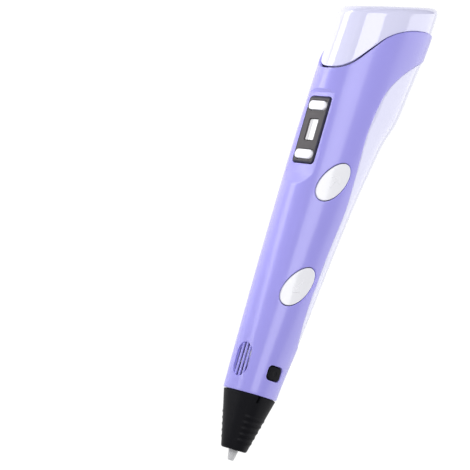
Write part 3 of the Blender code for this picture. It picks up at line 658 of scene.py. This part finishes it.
def plate_mesh(outline, low, high, frame_of, bm=None, edge=0.1):
    """A flat outline standing from low to high along the frame's z, with softened ends."""
    rings = []
    size = max(max(abs(x), abs(y)) for x, y in outline)
    for level, shrink in ((low, edge), (low + edge, 0), (high - edge, 0), (high, edge)):
        share = 1 - shrink / size
        rings.append([frame_of @ Vector((x * share, y * share, level)) for x, y in outline])
    return loft_mesh(rings, bm=bm)


# ---- From millimetres to pieces ----
SHARP = math.radians(40.0)          # angle from which an edge is shown as a crease


def made_object(bm, name, surface):
    mesh = bpy.data.meshes.new(name)
    bm.to_mesh(mesh)
    bm.free()
    mesh.materials.append(surface)
    made = bpy.data.objects.new(name, mesh)
    bpy.context.scene.collection.objects.link(made)
    return made


def stand_in(bm, node, slot_name, surface_name=None):
    """Turn a bmesh in the pen's frame into the piece that is shown for a node."""
    bm.transform(PEN)
    made = made_object(bm, node + "_piece", SURFACES[surface_name or slot_name])
    made.data.shade_smooth()
    made.data.set_sharp_from_angle(angle=SHARP)
    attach(made, BODY_OF[node])
    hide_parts(node)


# ---- Materials ----
class Surface:
    """A node material being put together around one Principled shader."""

    def __init__(self, name, roughness, metallic=0.0):
        self.made = bpy.data.materials.new(name)
        self.made.use_nodes = True
        self.tree = self.made.node_tree
        self.shader = self.tree.nodes["Principled BSDF"]
        self.shader.inputs["Roughness"].default_value = roughness
        self.shader.inputs["Metallic"].default_value = metallic
        self.place = self.tree.nodes.new("ShaderNodeTexCoord").outputs["Object"]

    def set(self, **values):
        for name, value in values.items():
            self.shader.inputs[name.replace("_", " ")].default_value = value

    def link(self, source, target):
        self.tree.links.new(source, target)

    def noise(self, size, detail=2.0, roughness=0.5):
        """Noise whose blobs are about size metres across."""
        node = self.tree.nodes.new("ShaderNodeTexNoise")
        node.inputs["Scale"].default_value = 1 / size
        node.inputs["Detail"].default_value = detail
        node.inputs["Roughness"].default_value = roughness
        self.link(self.place, node.inputs["Vector"])
        return node.outputs["Fac"]

    def calculate(self, operation, first, second=0.0):
        node = self.tree.nodes.new("ShaderNodeMath")
        node.operation = operation
        for value, socket in zip((first, second), node.inputs):
            if isinstance(value, float):
                socket.default_value = value
            else:
                self.link(value, socket)
        return node.outputs["Value"]

    def along(self, direction, place):
        """Distance in metres along a direction of the pen's frame, from a place on it."""
        node = self.tree.nodes.new("ShaderNodeVectorMath")
        node.operation = "DOT_PRODUCT"
        node.inputs[1].default_value = direction
        self.link(self.place, node.inputs[0])
        return self.calculate("SUBTRACT", node.outputs["Value"], (PEN @ Vector(place)).dot(direction))

    def colours(self, source, stops):
        node = self.tree.nodes.new("ShaderNodeValToRGB")
        ramp = node.color_ramp
        for index, (place, colour) in enumerate(stops):
            stop = ramp.elements[index] if index < 2 else ramp.elements.new(place)
            stop.position = place
            stop.color = (*colour, 1.0)
        self.link(source, node.inputs["Fac"])
        return node.outputs["Color"]

    def rough(self, source, low, high):
        """Roughness from low to high over the source's middle range."""
        node = self.tree.nodes.new("ShaderNodeMapRange")
        node.inputs["From Min"].default_value = 0.3
        node.inputs["From Max"].default_value = 0.7
        node.inputs["To Min"].default_value = low
        node.inputs["To Max"].default_value = high
        self.link(source, node.inputs["Value"])
        self.link(node.outputs["Result"], self.shader.inputs["Roughness"])

    def bump(self, source, height):
        node = self.tree.nodes.new("ShaderNodeBump")
        node.inputs["Distance"].default_value = height
        node.inputs["Strength"].default_value = 1.0
        self.link(source, node.inputs["Height"])
        self.link(node.outputs["Normal"], self.shader.inputs["Normal"])


def tinted(colour, factor):
    return tuple(min(channel * factor, 1.0) for channel in colour)


def moulded_plastic(name, colour, roughness, grain, grain_height, variation=0.03, **extra):
    """Plastic with slow colour drift, a fine moulded grain, and roughness that follows the grain."""
    surface = Surface(name, roughness)
    drift = surface.noise(0.03, 3.0)
    stops = ((0.3, tinted(colour, 1 - variation)), (0.7, tinted(colour, 1 + variation)))
    surface.link(surface.colours(drift, stops), surface.shader.inputs["Base Color"])
    fine = surface.noise(grain, 2.0, 0.6)
    surface.rough(fine, roughness * 0.88, roughness * 1.12)
    surface.bump(fine, grain_height)
    surface.set(**extra)
    return surface.made


def brushed_metal(name, colour, roughness, grain):
    surface = Surface(name, roughness, 1.0)
    streak = surface.noise(grain, 4.0, 0.7)
    surface.link(surface.colours(streak, ((0.3, tinted(colour, 0.82)), (0.7, colour))),
                 surface.shader.inputs["Base Color"])
    surface.rough(streak, roughness * 0.7, roughness * 1.3)
    surface.bump(streak, 0.00001)
    return surface.made


def display_window():
    """The display's pane: pale, and greyer towards the pen's left side."""
    surface = Surface("display_pane", 0.08)
    half = (WINDOW[0] / 2 - GAP) * MM
    share = surface.tree.nodes.new("ShaderNodeMapRange")
    share.inputs["From Min"].default_value = -half
    share.inputs["From Max"].default_value = half
    surface.link(surface.along(RIGHT, (0, 0, PANEL_HEIGHT)), share.inputs["Value"])
    stops = ((0.0, (0.26, 0.25, 0.26)), (0.22, (0.42, 0.41, 0.42)), (0.36, (0.30, 0.29, 0.30)),
             (0.44, (0.72, 0.72, 0.73)), (1.0, (0.93, 0.93, 0.94)))
    surface.link(surface.colours(share.outputs["Result"], stops), surface.shader.inputs["Base Color"])
    fine = surface.noise(0.0006, 1.0)
    surface.rough(fine, 0.06, 0.11)
    surface.set(Coat_Weight=1.0, Coat_Roughness=0.03)
    return surface.made


def bezel_with_painted_gap_shade():
    """Charcoal plastic with painted shade: it darkens to near black along the panel's outline, standing in for the
    shadow in the gap round the panel.
    """
    surface = Surface("bezel_with_painted_gap_shade", 0.45)
    sides = []
    for direction, size in ((RIGHT, PANEL[0]), (UP, PANEL[1])):
        offset = surface.calculate("ABSOLUTE", surface.along(direction, (0, 0, PANEL_HEIGHT)))
        sides.append(surface.calculate("SUBTRACT", offset, size / 2 * MM))
    # Painted shade: over the last 1.1 mm inside the panel's outline the colour darkens, in place of the gap's
    # shadow.
    rim = 1.1 * MM
    edge = surface.calculate("MULTIPLY", surface.calculate("MAXIMUM", *sides), -1 / rim)
    grain = surface.noise(0.0003, 2.0)
    share = surface.calculate("ADD", edge, surface.calculate("MULTIPLY", grain, 0.12))
    # The first stop is the painted shade's near-black navy; the second is the bezel's own charcoal.
    stops = ((0.45, (0.022, 0.021, 0.045)), (0.8, (0.092, 0.084, 0.087)))
    surface.link(surface.colours(share, stops), surface.shader.inputs["Base Color"])
    surface.rough(grain, 0.4, 0.52)
    surface.bump(grain, 0.000005)
    surface.set(Specular_IOR_Level=0.3)
    return surface.made


SURFACES = {
    "lilac_plastic": moulded_plastic("satin_lilac", (0.37, 0.34, 0.87), 0.42, grain=0.00035,
                                     grain_height=0.000004, Coat_Weight=0.8, Coat_Roughness=0.21),
    "white_plastic": moulded_plastic("glossy_white", (0.77, 0.765, 0.99), 0.09, grain=0.004,
                                     grain_height=0.000002, variation=0.015, Coat_Weight=1.0,
                                     Coat_Roughness=0.05),
    "key_white": moulded_plastic("key_white", (0.92, 0.92, 0.96), 0.22, grain=0.0004,
                                 grain_height=0.000002, variation=0.015, Coat_Weight=0.5,
                                 Coat_Roughness=0.1),
    "bezel_plastic": bezel_with_painted_gap_shade(),
    "black_plastic": moulded_plastic("satin_black", (0.008, 0.008, 0.010), 0.45, grain=0.00035,
                                     grain_height=0.000012, variation=0.12, Specular_IOR_Level=0.09),
    "ceramic": moulded_plastic("pale_nozzle", (0.62, 0.62, 0.63), 0.32, grain=0.0005,
                               grain_height=0.000006, variation=0.05),
    "steel": brushed_metal("plain_steel", (0.62, 0.62, 0.64), 0.3, grain=0.0004),
    "display_glass": display_window(),
}


# ---- The shells ----
def soft_ramp(values, blend):
    """Zero below zero and the value itself above it, with a soft bend between."""
    return 0.5 * (values + np.sqrt(values * values + blend * blend))


def facet_depth(height):
    """Depth of the flat with sloped ends that the control panel lies in."""
    upper = soft_ramp((height - FACET_TOP) * TOP_SLOPE, TOP_BEND)
    lower = soft_ramp((FACET_BOTTOM - height) * BOTTOM_SLOPE, BOTTOM_BEND)
    return FACET + upper + lower


def facet_top_side(points):
    """The line across the front where the facet's upper slope begins."""
    near = (points[:, 1] < -4) & (np.abs(points[:, 0]) < 9)
    return np.where(near, points[:, 2] - FACET_TOP, FAR)


def facet_side(points):
    """Positive where the facet cuts the body's front."""
    distance = -points[:, 1] - facet_depth(points[:, 2])
    return np.where(points[:, 1] < 0, distance, -FAR)


def sink_facet(points):
    """Move what stands in front of the facet back onto it, with a soft edge."""
    moved = points.copy()
    excess = facet_side(points)
    soft = 0.12
    sunk = soft_ramp(excess, soft) - 0.5 * soft * np.exp(-np.abs(excess) / soft)
    moved[:, 1] += np.where(excess > -3 * soft, np.maximum(sunk, 0), 0)
    return moved


def sink_vent(points):
    """Lower the vent's floor, with a short steep wall around it."""
    moved = points.copy()
    share = np.clip(-vent_side(points) / FINE_EDGE, 0, 1)
    floor = np.maximum(points[:, 1], -VENT_FLOOR)
    moved[:, 1] = points[:, 1] * (1 - share) + floor * share
    return moved


def window_directions(points):
    """Around the windows for keys and latches, the direction in which the piece in it moves."""
    directions = np.zeros(points.shape)
    reach = 1.6
    for name in OVAL_CENTRES:
        directions[oval_side(name)(points) < reach] = OVAL_AXIS
    near_latch = latch_side(points) < reach
    directions[near_latch] = 0
    directions[near_latch, 0] = np.sign(points[near_latch, 0])
    return directions


def body_skin(low, high, inset):
    turns = even_turns(RING_POINTS)
    return skin_mesh([body_points(level, turns, inset) for level in np.arange(low, high, LEVEL_STEP)])


def make_front_shell():
    bm = body_skin(NOSE + EDGE, end_height(30, 0), 0.0)
    settle = settle_on_body(0.0)
    trim(bm, cap_side)
    trim(bm, spine_side)
    place_points(bm, settle(points_of(bm)))
    reaches = [(vent_side, 4.2), (vent_side, 4.2), (latch_side, 0.9), (latch_side, 0.6), (panel_side, 0.8)]
    reaches += [(oval_side(name), 0.9) for name in OVAL_CENTRES]
    reaches.append((facet_top_side, 2.2))
    for side, reach in reaches:
        refine(bm, side, reach, settle)
    for side, level in ((facet_top_side, 0), (facet_side, 0), (vent_side, 0), (vent_side, -FINE_EDGE)):
        conform(bm, side, level)
    for slot in vent_slots():
        trim(bm, slot, FINE_EDGE)
    trim(bm, panel_side, FINE_EDGE)
    trim(bm, latch_side)
    for name in OVAL_CENTRES:
        trim(bm, oval_side(name))
    place_points(bm, sink_vent(sink_facet(settle(points_of(bm)))))
    close_skin(bm, thin_side=vent_side, thin_depth=VENT_WALL, guided=window_directions)
    stand_in(bm, "front_shell", "lilac_plastic")


def make_spine_cover():
    bm = body_skin(40.0, 168.0, SPINE_INSET)
    trim(bm, outside_of(spine_side), SEAM_EDGE, SEAM_GAP)
    place_points(bm, settle_on_body(SPINE_INSET)(points_of(bm)))
    close_skin(bm)
    stand_in(bm, "spine_cover", "white_plastic")


def make_top_cap():
    """Rows up the cap's side, round its rim and in to the middle of its slanted end."""
    turns = even_turns(144, half_width=15.0, half_depth=19.4, squareness=2.3)
    skirt = 34.0
    rows = [slanted_points(drop, turns, CAP_INSET) for drop in np.arange(skirt, RIM_RADIUS, -LEVEL_STEP)]
    rim_steps = 10
    for step in range(rim_steps + 1):
        angle = math.pi / 2 * step / rim_steps
        drop = RIM_RADIUS * (1 - math.sin(angle))
        rows.append(slanted_points(drop, turns, CAP_INSET + RIM_RADIUS * (1 - math.cos(angle))))
    last = rows[-1]
    middle = last.mean(axis=0)
    shrinks = 16
    for step in range(1, shrinks):
        rows.append(middle + (last - middle) * (1 - step / shrinks))
    bm = skin_mesh(rows)
    bm.verts.ensure_lookup_table()
    bm.faces.new(bm.verts[-len(turns):])
    trim(bm, outside_of(cap_side), SEAM_EDGE, SEAM_GAP)
    socket = socket_frame().inverted()

    def socket_side(points):
        x, y, depth = transformed(socket, points).T
        return np.where(np.abs(depth) < 4, np.hypot(x, y) - SOCKET_RADIUS - GAP, FAR)

    def inlet_side(points):
        hole = np.hypot(points[:, 0], points[:, 1]) - INLET_HOLE
        return np.where(points[:, 2] > INLET_FOOT, hole, FAR)

    trim(bm, socket_side, FINE_EDGE)
    trim(bm, inlet_side, FINE_EDGE)
    close_skin(bm)
    stand_in(bm, "top_cap", "white_plastic")


# ---- Cap fittings ----
def socket_frame():
    return facing(END_AXIS, AXIS_X, (0, SOCKET_BACK, end_height(SOCKET_BACK, 0)))


def make_power_socket():
    lip = 0.2
    barrel = ((SOCKET_RADIUS, -SOCKET_DEPTH), (SOCKET_RADIUS, -lip), (SOCKET_BORE, -lip),
              (SOCKET_BORE, -SOCKET_FLOOR), (PIN_HOLE, -SOCKET_FLOOR), (PIN_HOLE, -SOCKET_DEPTH))
    bm = turned_mesh(rounded_profile(barrel, 0.2), socket_frame())
    stand_in(bm, "power_socket", "black_plastic")
    low, shoulder, top = -10.4, -1.7, -1.2
    pin = ((0.02, low), (PIN_RADIUS, low), (PIN_RADIUS, shoulder), (0.6, top), (0.02, top))
    bm = turned_mesh(rounded_profile(pin, 0.2), socket_frame(), 32)
    stand_in(bm, "power_socket_pin", "steel")


def make_inlet_guide():
    """A collar whose rounded mouth follows the slanted end."""
    lip, low = 0.15, 6.0
    collar = ((INLET_RADIUS, low), (INLET_RADIUS, lip), (INLET_BORE, lip), (INLET_BORE, low))
    rings = [circle(INLET_RADIUS, INLET_FOOT, 48)]
    for radius, drop in rounded_profile(collar, 0.35, 4):
        ring = circle(radius, 0, 48)
        rings.append([Vector((point.x, point.y, end_height(point.y, drop))) for point in ring])
    rings.append(circle(INLET_BORE, INLET_FOOT, 48))
    bm = loft_mesh(rings, closed_profile=True)
    bmesh.ops.recalc_face_normals(bm, faces=bm.faces)
    stand_in(bm, "inlet_guide", "white_plastic", "key_white")


# ---- Control panel ----
def flat_skin(width, height, place, step, surface=None):
    """A flat rectangular skin in the frame's x and y, at the frame's place."""
    columns = np.linspace(-width / 2, width / 2, int(width / step) + 1)
    rows = np.linspace(-height / 2, height / 2, int(height / step) + 1)
    grid = []
    for row in rows:
        local = np.stack([columns, np.full(columns.shape, row), np.zeros(columns.shape)], axis=-1)
        if surface:
            local[:, 2] = surface(local)
        grid.append(transformed(place, local))
    return skin_mesh(grid, closed=False)


def make_panel():
    place = on_front(PANEL_HEIGHT, PANEL_FACE)
    bm = flat_skin(PANEL[0] + 1, PANEL[1] + 1, place, 0.35)
    trim(bm, outside_of(front_box(PANEL_HEIGHT, PANEL)), 0.3)
    for height in PILL_HEIGHTS.values():
        trim(bm, front_box(height, PILL, GAP), FINE_EDGE)
    trim(bm, front_box(PANEL_HEIGHT, WINDOW), 0.06)
    close_skin(bm, PANEL_DEPTH)
    stand_in(bm, "control_panel", "bezel_plastic")
    lens = (WINDOW[0] - 2 * GAP, WINDOW[1] - 2 * GAP, WINDOW[2])
    bm = flat_skin(lens[0] + 0.6, lens[1] + 0.6, on_front(PANEL_HEIGHT, PANEL_FACE - LENS_SUNK), 0.3)
    trim(bm, outside_of(front_box(PANEL_HEIGHT, lens)), 0.08)
    close_skin(bm, 0.8)
    stand_in(bm, "display_lens", "display_glass")
    for name, height in PILL_HEIGHTS.items():
        make_pill(name, height)


def make_pill(name, height):
    """A pill-shaped key with a gentle crown, and its wider foot under the panel."""
    crown = 0.12

    def dome(local):
        across, along = local[:, 0] / PILL[0] * 2, local[:, 1] / PILL[1] * 2
        return -crown * (0.5 * across ** 2 + 0.5 * along ** 2)

    bm = flat_skin(PILL[0] + 0.6, PILL[1] + 0.6, on_front(height, PILL_TOP), 0.22, dome)
    trim(bm, outside_of(front_box(height, PILL)), 0.4)
    close_skin(bm, 2.0, 0.4, 5)
    foot_top = PANEL_FACE - PANEL_DEPTH - GAP
    foot = rounded_outline(PILL[0] + 1.2, PILL[1] + 1.1, 1.2)
    plate_mesh(foot, foot_top - 0.4, foot_top, on_front(height), bm)
    stand_in(bm, name, "white_plastic", "key_white")


# ---- Oval side buttons ----
OVAL_PROUD = 0.12
OVAL_DISH = 0.2
ICON_RAISE = 0.13
ICON_LINE = 0.34                    # half the width of an icon's strokes
ICON_EDGE = 0.14                    # width of the slope round an icon


def arrow_icon(direction):
    """Signed distance to a plain arrow, made of three strokes, that points along the long axis."""
    tip, tail, wing = 2.5 * direction, -2.2 * direction, 1.5

    def distance(x, y):
        shaft = segment_distance(x, y, (tail, 0), (tip, 0))
        upper = segment_distance(x, y, (tip, 0), (tip - wing * direction, wing))
        lower = segment_distance(x, y, (tip, 0), (tip - wing * direction, -wing))
        return np.minimum(shaft, np.minimum(upper, lower)) - ICON_LINE
    return distance


def always(direction):
    return lambda points: np.tile(np.array(direction), (len(points), 1))


def make_oval(name, icon):
    place = oval_frame(name)
    back_to_frame = place.inverted()

    def surface(local):
        """How far out along the button's axis the body's skin lies."""
        low, high = np.full(len(local), 3.0), np.full(len(local), 20.0)
        for _ in range(40):
            middle = (low + high) / 2
            trial = np.stack([local[:, 0], local[:, 1], middle], axis=-1)
            inside = body_reach(transformed(place, trial), -OVAL_PROUD) < 1
            low, high = np.where(inside, middle, low), np.where(inside, high, middle)
        return low

    def drawn(function):
        def distance(points):
            local = transformed(back_to_frame, points)
            return function(*leaning(local[:, 0], local[:, 1]))
        return distance

    def dished(points):
        """A shallow thumb dish and the raised icon."""
        along, across = leaning(*transformed(back_to_frame, points)[:, :2].T)
        dish = OVAL_DISH * np.clip(1 - (along / OVAL_SIZE[0]) ** 2 - (across / OVAL_SIZE[1]) ** 2, 0, 1)
        lift = ICON_RAISE * np.clip(-icon(along, across) / ICON_EDGE + 0.5, 0, 1)
        return points + np.array(OVAL_AXIS) * (lift - dish)[:, None]

    spread = OVAL_SIZE[0] + 0.6
    bm = flat_skin(2 * spread, 2 * spread * 0.86, place, 0.3, surface)
    trim(bm, drawn(lambda x, y: -oval_distance(x, y, *OVAL_SIZE)), 0.35)
    refine(bm, drawn(icon), 0.5, None)
    for level in (-ICON_EDGE / 2, ICON_EDGE / 2):
        conform(bm, drawn(icon), level)
    place_points(bm, dished(points_of(bm)))
    close_skin(bm, 2.2, 0.35, 5, guided=always(OVAL_AXIS))
    foot, top, stem_radius = 8.05, 10.4, 1.5
    stem = ((0.02, foot), (stem_radius, foot), (stem_radius, top), (0.02, top))
    turned_mesh(rounded_profile(stem, 0.1), place, 24, bm)
    stand_in(bm, name, "white_plastic", "key_white")


# ---- Nose ----
def cover_points(height, turns, inset):
    """The cover's surface: a round mouth that grows into the body's rounded square."""
    rise = (height - COVER_BOTTOM) / (COVER_TOP - COVER_BOTTOM)
    front, back, half_width, squareness = COVER_SHOULDER
    depth = COVER_MOUTH + ((front + back) / 2 - COVER_MOUTH) * rise - inset
    width = COVER_MOUTH + (half_width - COVER_MOUTH) * rise - inset
    power = 2 / (2 + (squareness - 2) * max(rise, 0.0))
    x = width * signed_power(np.sin(turns), power)
    y = depth * signed_power(-np.cos(turns), power) + (back - front) / 2 * rise
    return np.stack([x, y, np.full(x.shape, height)], axis=-1)


def grip_lift(height, turns):
    """How far the grip ribs stand out: only on the two sides, and rounded over."""
    start, fade, half_rib = 0.70, 0.14, 0.78
    window = np.clip((np.abs(np.sin(turns)) - start) / fade, 0, 1)
    window = window * window * (3 - 2 * window)
    nearest = min(abs(height - rib) for rib in GRIP_RIBS)
    bead = max(math.cos(math.pi / 2 * min(nearest / half_rib, 1.0)), 0.0)
    return GRIP_HEIGHT * window * bead


def make_nozzle_cover():
    turns = even_turns(128, half_width=7.0, half_depth=6.5, squareness=2.3)
    mouth, mouth_steps, level_step = 0.7, 6, 0.22
    rows = []
    for share in np.linspace(0, 1, 6):
        radius = COVER_BORE + FINE_EDGE + (COVER_MOUTH - mouth - COVER_BORE - FINE_EDGE) * share
        rows.append(cover_points(COVER_BOTTOM, turns, COVER_MOUTH - radius))
    for step in range(1, mouth_steps + 1):
        angle = math.pi / 2 * step / mouth_steps
        rows.append(cover_points(COVER_BOTTOM + mouth * (1 - math.cos(angle)), turns,
                                 mouth * (1 - math.sin(angle))))
    for height in np.arange(COVER_BOTTOM + mouth + level_step, COVER_TOP - EDGE, level_step):
        rows.append(cover_points(height, turns, -grip_lift(height, turns)))
    rows.append(cover_points(COVER_TOP - EDGE, turns, 0.0))
    bm = skin_mesh(rows)

    def slit_side(points):
        distance = box_distance(points[:, 1] + SLIT_FRONT, points[:, 2] - COVER_TOP, *SLIT)
        return np.where(np.abs(points[:, 0]) > 6.2, distance, FAR)

    trim(bm, slit_side, FINE_EDGE)
    close_skin(bm, 1.1, EDGE)
    for middle in (0.0, math.pi):
        add_neck_arc(bm, middle)
    stand_in(bm, "nozzle_cover", "black_plastic")


def add_neck_arc(bm, middle):
    """The half of the neck around one turn, which leaves the sides free for the latches."""
    low, high, wall, clearance, chamfer = 23.6, 28.2, 1.0, 2.1, 0.3
    half_turn, corners = 0.72, 28
    turns = middle + np.linspace(-half_turn, half_turn, corners)
    columns = []
    for height, inset in ((low, clearance), (high - chamfer, clearance), (high, clearance + chamfer),
                          (high, clearance + wall), (low, clearance + wall)):
        columns.append(body_points(height, turns, inset))
    rings = [[Vector(column[index]) for column in columns] for index in range(len(turns))]
    start = len(bm.faces)
    loft_mesh(rings, bm=bm)
    bm.faces.ensure_lookup_table()
    bmesh.ops.recalc_face_normals(bm, faces=bm.faces[start:])


def latch_arm(side):
    """Rings of the springy arm: it rises from its pivot and widens behind the pad."""
    back, up = LATCH_CENTRE
    out, pivot = LATCH_PIVOT
    foot, bend, low, high = pivot - 1.2, 23.5, up - 3.2, up + 3.0
    inside, outside = 6.8, 7.9
    profile = ((out - 0.6, foot), (out + 0.35, foot), (out + 0.45, bend), (outside, low),
               (outside, high), (inside, high), (inside, low), (out - 0.6, bend))
    half_width, bevel = 2.6, 0.15
    rings = []
    for across, shrink in ((-half_width, bevel), (-half_width + bevel, 0.0), (half_width - bevel, 0.0),
                           (half_width, bevel)):
        ring = rounded_profile(profile, 0.25 + shrink)
        rings.append([Vector((side * x, back + across, z)) for x, z in ring])
    return rings


def make_latch(node, side):
    """A springy arm inside the cover, with a softly crowned pad that fills the shell's window."""
    back, up = LATCH_CENTRE
    skin = smooth_row(STATIONS, up)[2] - 0.1
    frame_of = facing(AXIS_X * side, AXIS_Y * side, (side * skin, back, up))

    def crown(local):
        return -0.012 * local[:, 0] ** 2 - 0.006 * local[:, 1] ** 2

    def dot_side(points):
        return np.hypot(points[:, 1] - back, points[:, 2] - up) - LATCH_DOT

    bm = flat_skin(LATCH_PAD[0] + 0.6, LATCH_PAD[1] + 0.6, frame_of, 0.3, crown)
    trim(bm, outside_of(latch_pad_side), 0.4)
    refine(bm, dot_side, 0.5, None)
    conform(bm, dot_side)
    conform(bm, dot_side, -LATCH_DOT_EDGE)
    points = points_of(bm)
    sink = np.clip(-dot_side(points) / LATCH_DOT_EDGE, 0, 1) * 0.09
    points[:, 0] -= side * sink
    place_points(bm, points)
    close_skin(bm, skin - 7.4, 0.4, 4, guided=always((side, 0.0, 0.0)))
    loft_mesh(latch_arm(side), bm=bm)
    bmesh.ops.recalc_face_normals(bm, faces=bm.faces)
    stand_in(bm, node, "black_plastic")


def make_nozzle_tip():
    profile = ((0.45, 1.2), (0.45, 0.0), (0.95, 0.0), (1.25, 0.9), (1.85, 4.2), (1.85, 5.3), (2.9, 5.3),
               (2.9, 12.4), (1.05, 12.4), (1.05, 2.2))
    bm = turned_mesh(rounded_profile(profile, 0.18, 4))
    bmesh.ops.recalc_face_normals(bm, faces=bm.faces)
    stand_in(bm, "nozzle_tip", "ceramic")


# ---- What is inside keeps its shape ----
def finish_inner_nodes():
    """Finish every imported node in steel; those that have a stand-in are hidden."""
    for node in frame["nodes"].values():
        node.data.materials.clear()
        node.data.materials.append(SURFACES["steel"])


# ---- Floor, light and camera ----
CENTRE = PEN @ Vector((0, 0, 92.0))
VIEW_TURN = math.radians(41.28)     # from the pen's right side towards its front
VIEW_TIP = math.radians(-7.07)      # towards the nozzle
VIEW_ROLL = math.radians(16.14)
VIEW_DISTANCE = 0.7046
VIEW_AIM = (-0.0342, -0.0096)       # the picture's middle, as a share of the distance to the pen
SENSOR = 36.0
FOCAL = 147.84


def pen_direction(up, front, right):
    return (UP * up - BACK * front + RIGHT * right).normalized()


def make_camera():
    up, front, right = (math.sin(VIEW_TIP), math.cos(VIEW_TIP) * math.sin(VIEW_TURN),
                        math.cos(VIEW_TIP) * math.cos(VIEW_TURN))
    towards = pen_direction(up, front, right)
    level = UP.cross(towards).normalized()
    upright = towards.cross(level)
    place = CENTRE + towards * VIEW_DISTANCE
    across = level * math.cos(VIEW_ROLL) + upright * math.sin(VIEW_ROLL)
    above = upright * math.cos(VIEW_ROLL) - level * math.sin(VIEW_ROLL)
    towards = (towards - across * VIEW_AIM[0] - above * VIEW_AIM[1]).normalized()
    across = (across - towards * across.dot(towards)).normalized()
    above = towards.cross(across)
    lens = bpy.data.cameras.new("camera")
    lens.sensor_width = SENSOR
    lens.lens = FOCAL
    lens.clip_start = 0.01
    made = bpy.data.objects.new("camera", lens)
    placed = Matrix((across, above, towards)).transposed().to_4x4()
    placed.translation = place
    made.matrix_world = placed
    bpy.context.scene.collection.objects.link(made)
    bpy.context.scene.camera = made


def softbox(name, turn, distance, width, length, radiance, tip=0.0, middle=CENTRE, along=UP):
    """A panel of light around the pen's axis; turn 0 is in front and 90 degrees to the right."""
    angle, rise = math.radians(turn), math.radians(tip)
    flat = math.cos(rise)
    direction = pen_direction(math.sin(rise), flat * math.cos(angle), flat * math.sin(angle))
    light = bpy.data.lights.new(name, "AREA")
    light.shape = "RECTANGLE"
    light.size = length
    light.size_y = width
    light.energy = radiance * math.pi * width * length
    made = bpy.data.objects.new(name, light)
    x = (along - direction * along.dot(direction)).normalized()
    placed = Matrix((x, direction.cross(x), direction)).transposed().to_4x4()
    placed.translation = middle + direction * distance
    made.matrix_world = placed
    made.visible_camera = False
    bpy.context.scene.collection.objects.link(made)


def card(name, roughness, colour, glow, strength):
    """A dull surface that gives off an even light of its own."""
    surface = Surface(name, roughness)
    surface.set(Base_Color=(*colour, 1), Emission_Color=(*glow, 1), Emission_Strength=strength)
    surface.set(Specular_IOR_Level=0.0)
    return surface.made


def make_floor():
    bm = bmesh.new()
    bmesh.ops.create_grid(bm, x_segments=8, y_segments=8, size=3.0)
    made = made_object(bm, "floor", card("floor_card", 0.9, (0.12, 0.12, 0.12), (1, 1, 1), 0.97))
    made.location.z = -0.0002


def make_flag():
    """A dark card just above the floor that keeps the floor's light off the pen's front."""
    bm = bmesh.new()
    near, far, reach, height = -0.026, -0.42, 0.32, 0.0004
    corners = ((-reach, far), (reach, far), (reach, near), (-reach, near))
    bm.faces.new([bm.verts.new((x, y, height)) for x, y in corners])
    made = made_object(bm, "flag", card("grey_card", 1.0, (0.05, 0.05, 0.06), (0.9, 0.92, 1), 0.34))
    made.visible_camera = False
    made.visible_shadow = False


def light_scene():
    scene = bpy.context.scene
    scene.view_settings.view_transform = "Standard"
    scene.view_settings.look = "None"
    world = bpy.data.worlds.new("studio")
    world.use_nodes = True
    background = world.node_tree.nodes["Background"]
    background.inputs["Color"].default_value = (0.96, 0.97, 1.0, 1.0)
    background.inputs["Strength"].default_value = 0.22
    scene.world = world
    softbox("key_softbox", turn=49, distance=0.5, width=0.5, length=0.5, radiance=2.75, tip=12)
    softbox("nose_softbox", turn=20, distance=0.6, width=0.3, length=0.3, radiance=0.6, tip=-50)
    softbox("back_softbox", turn=155, distance=0.7, width=0.7, length=0.9, radiance=1.5)
    front_line = PEN @ Vector((0, -8.3, 92.0))
    softbox("low_strip", turn=-46.5, distance=0.0171, width=0.006, length=0.19, radiance=3.4,
            middle=front_line, along=AXIS_X)


def main():
    finish_inner_nodes()
    make_front_shell()
    make_spine_cover()
    make_top_cap()
    make_power_socket()
    make_inlet_guide()
    make_panel()
    make_oval("feed_button", arrow_icon(-1))
    make_oval("retract_button", arrow_icon(1))
    make_nozzle_cover()
    make_latch("release_latch_right", 1)
    make_latch("release_latch_left", -1)
    make_nozzle_tip()
    make_floor()
    make_flag()
    light_scene()
    make_camera()


main()
bpy.context.view_layer.update()
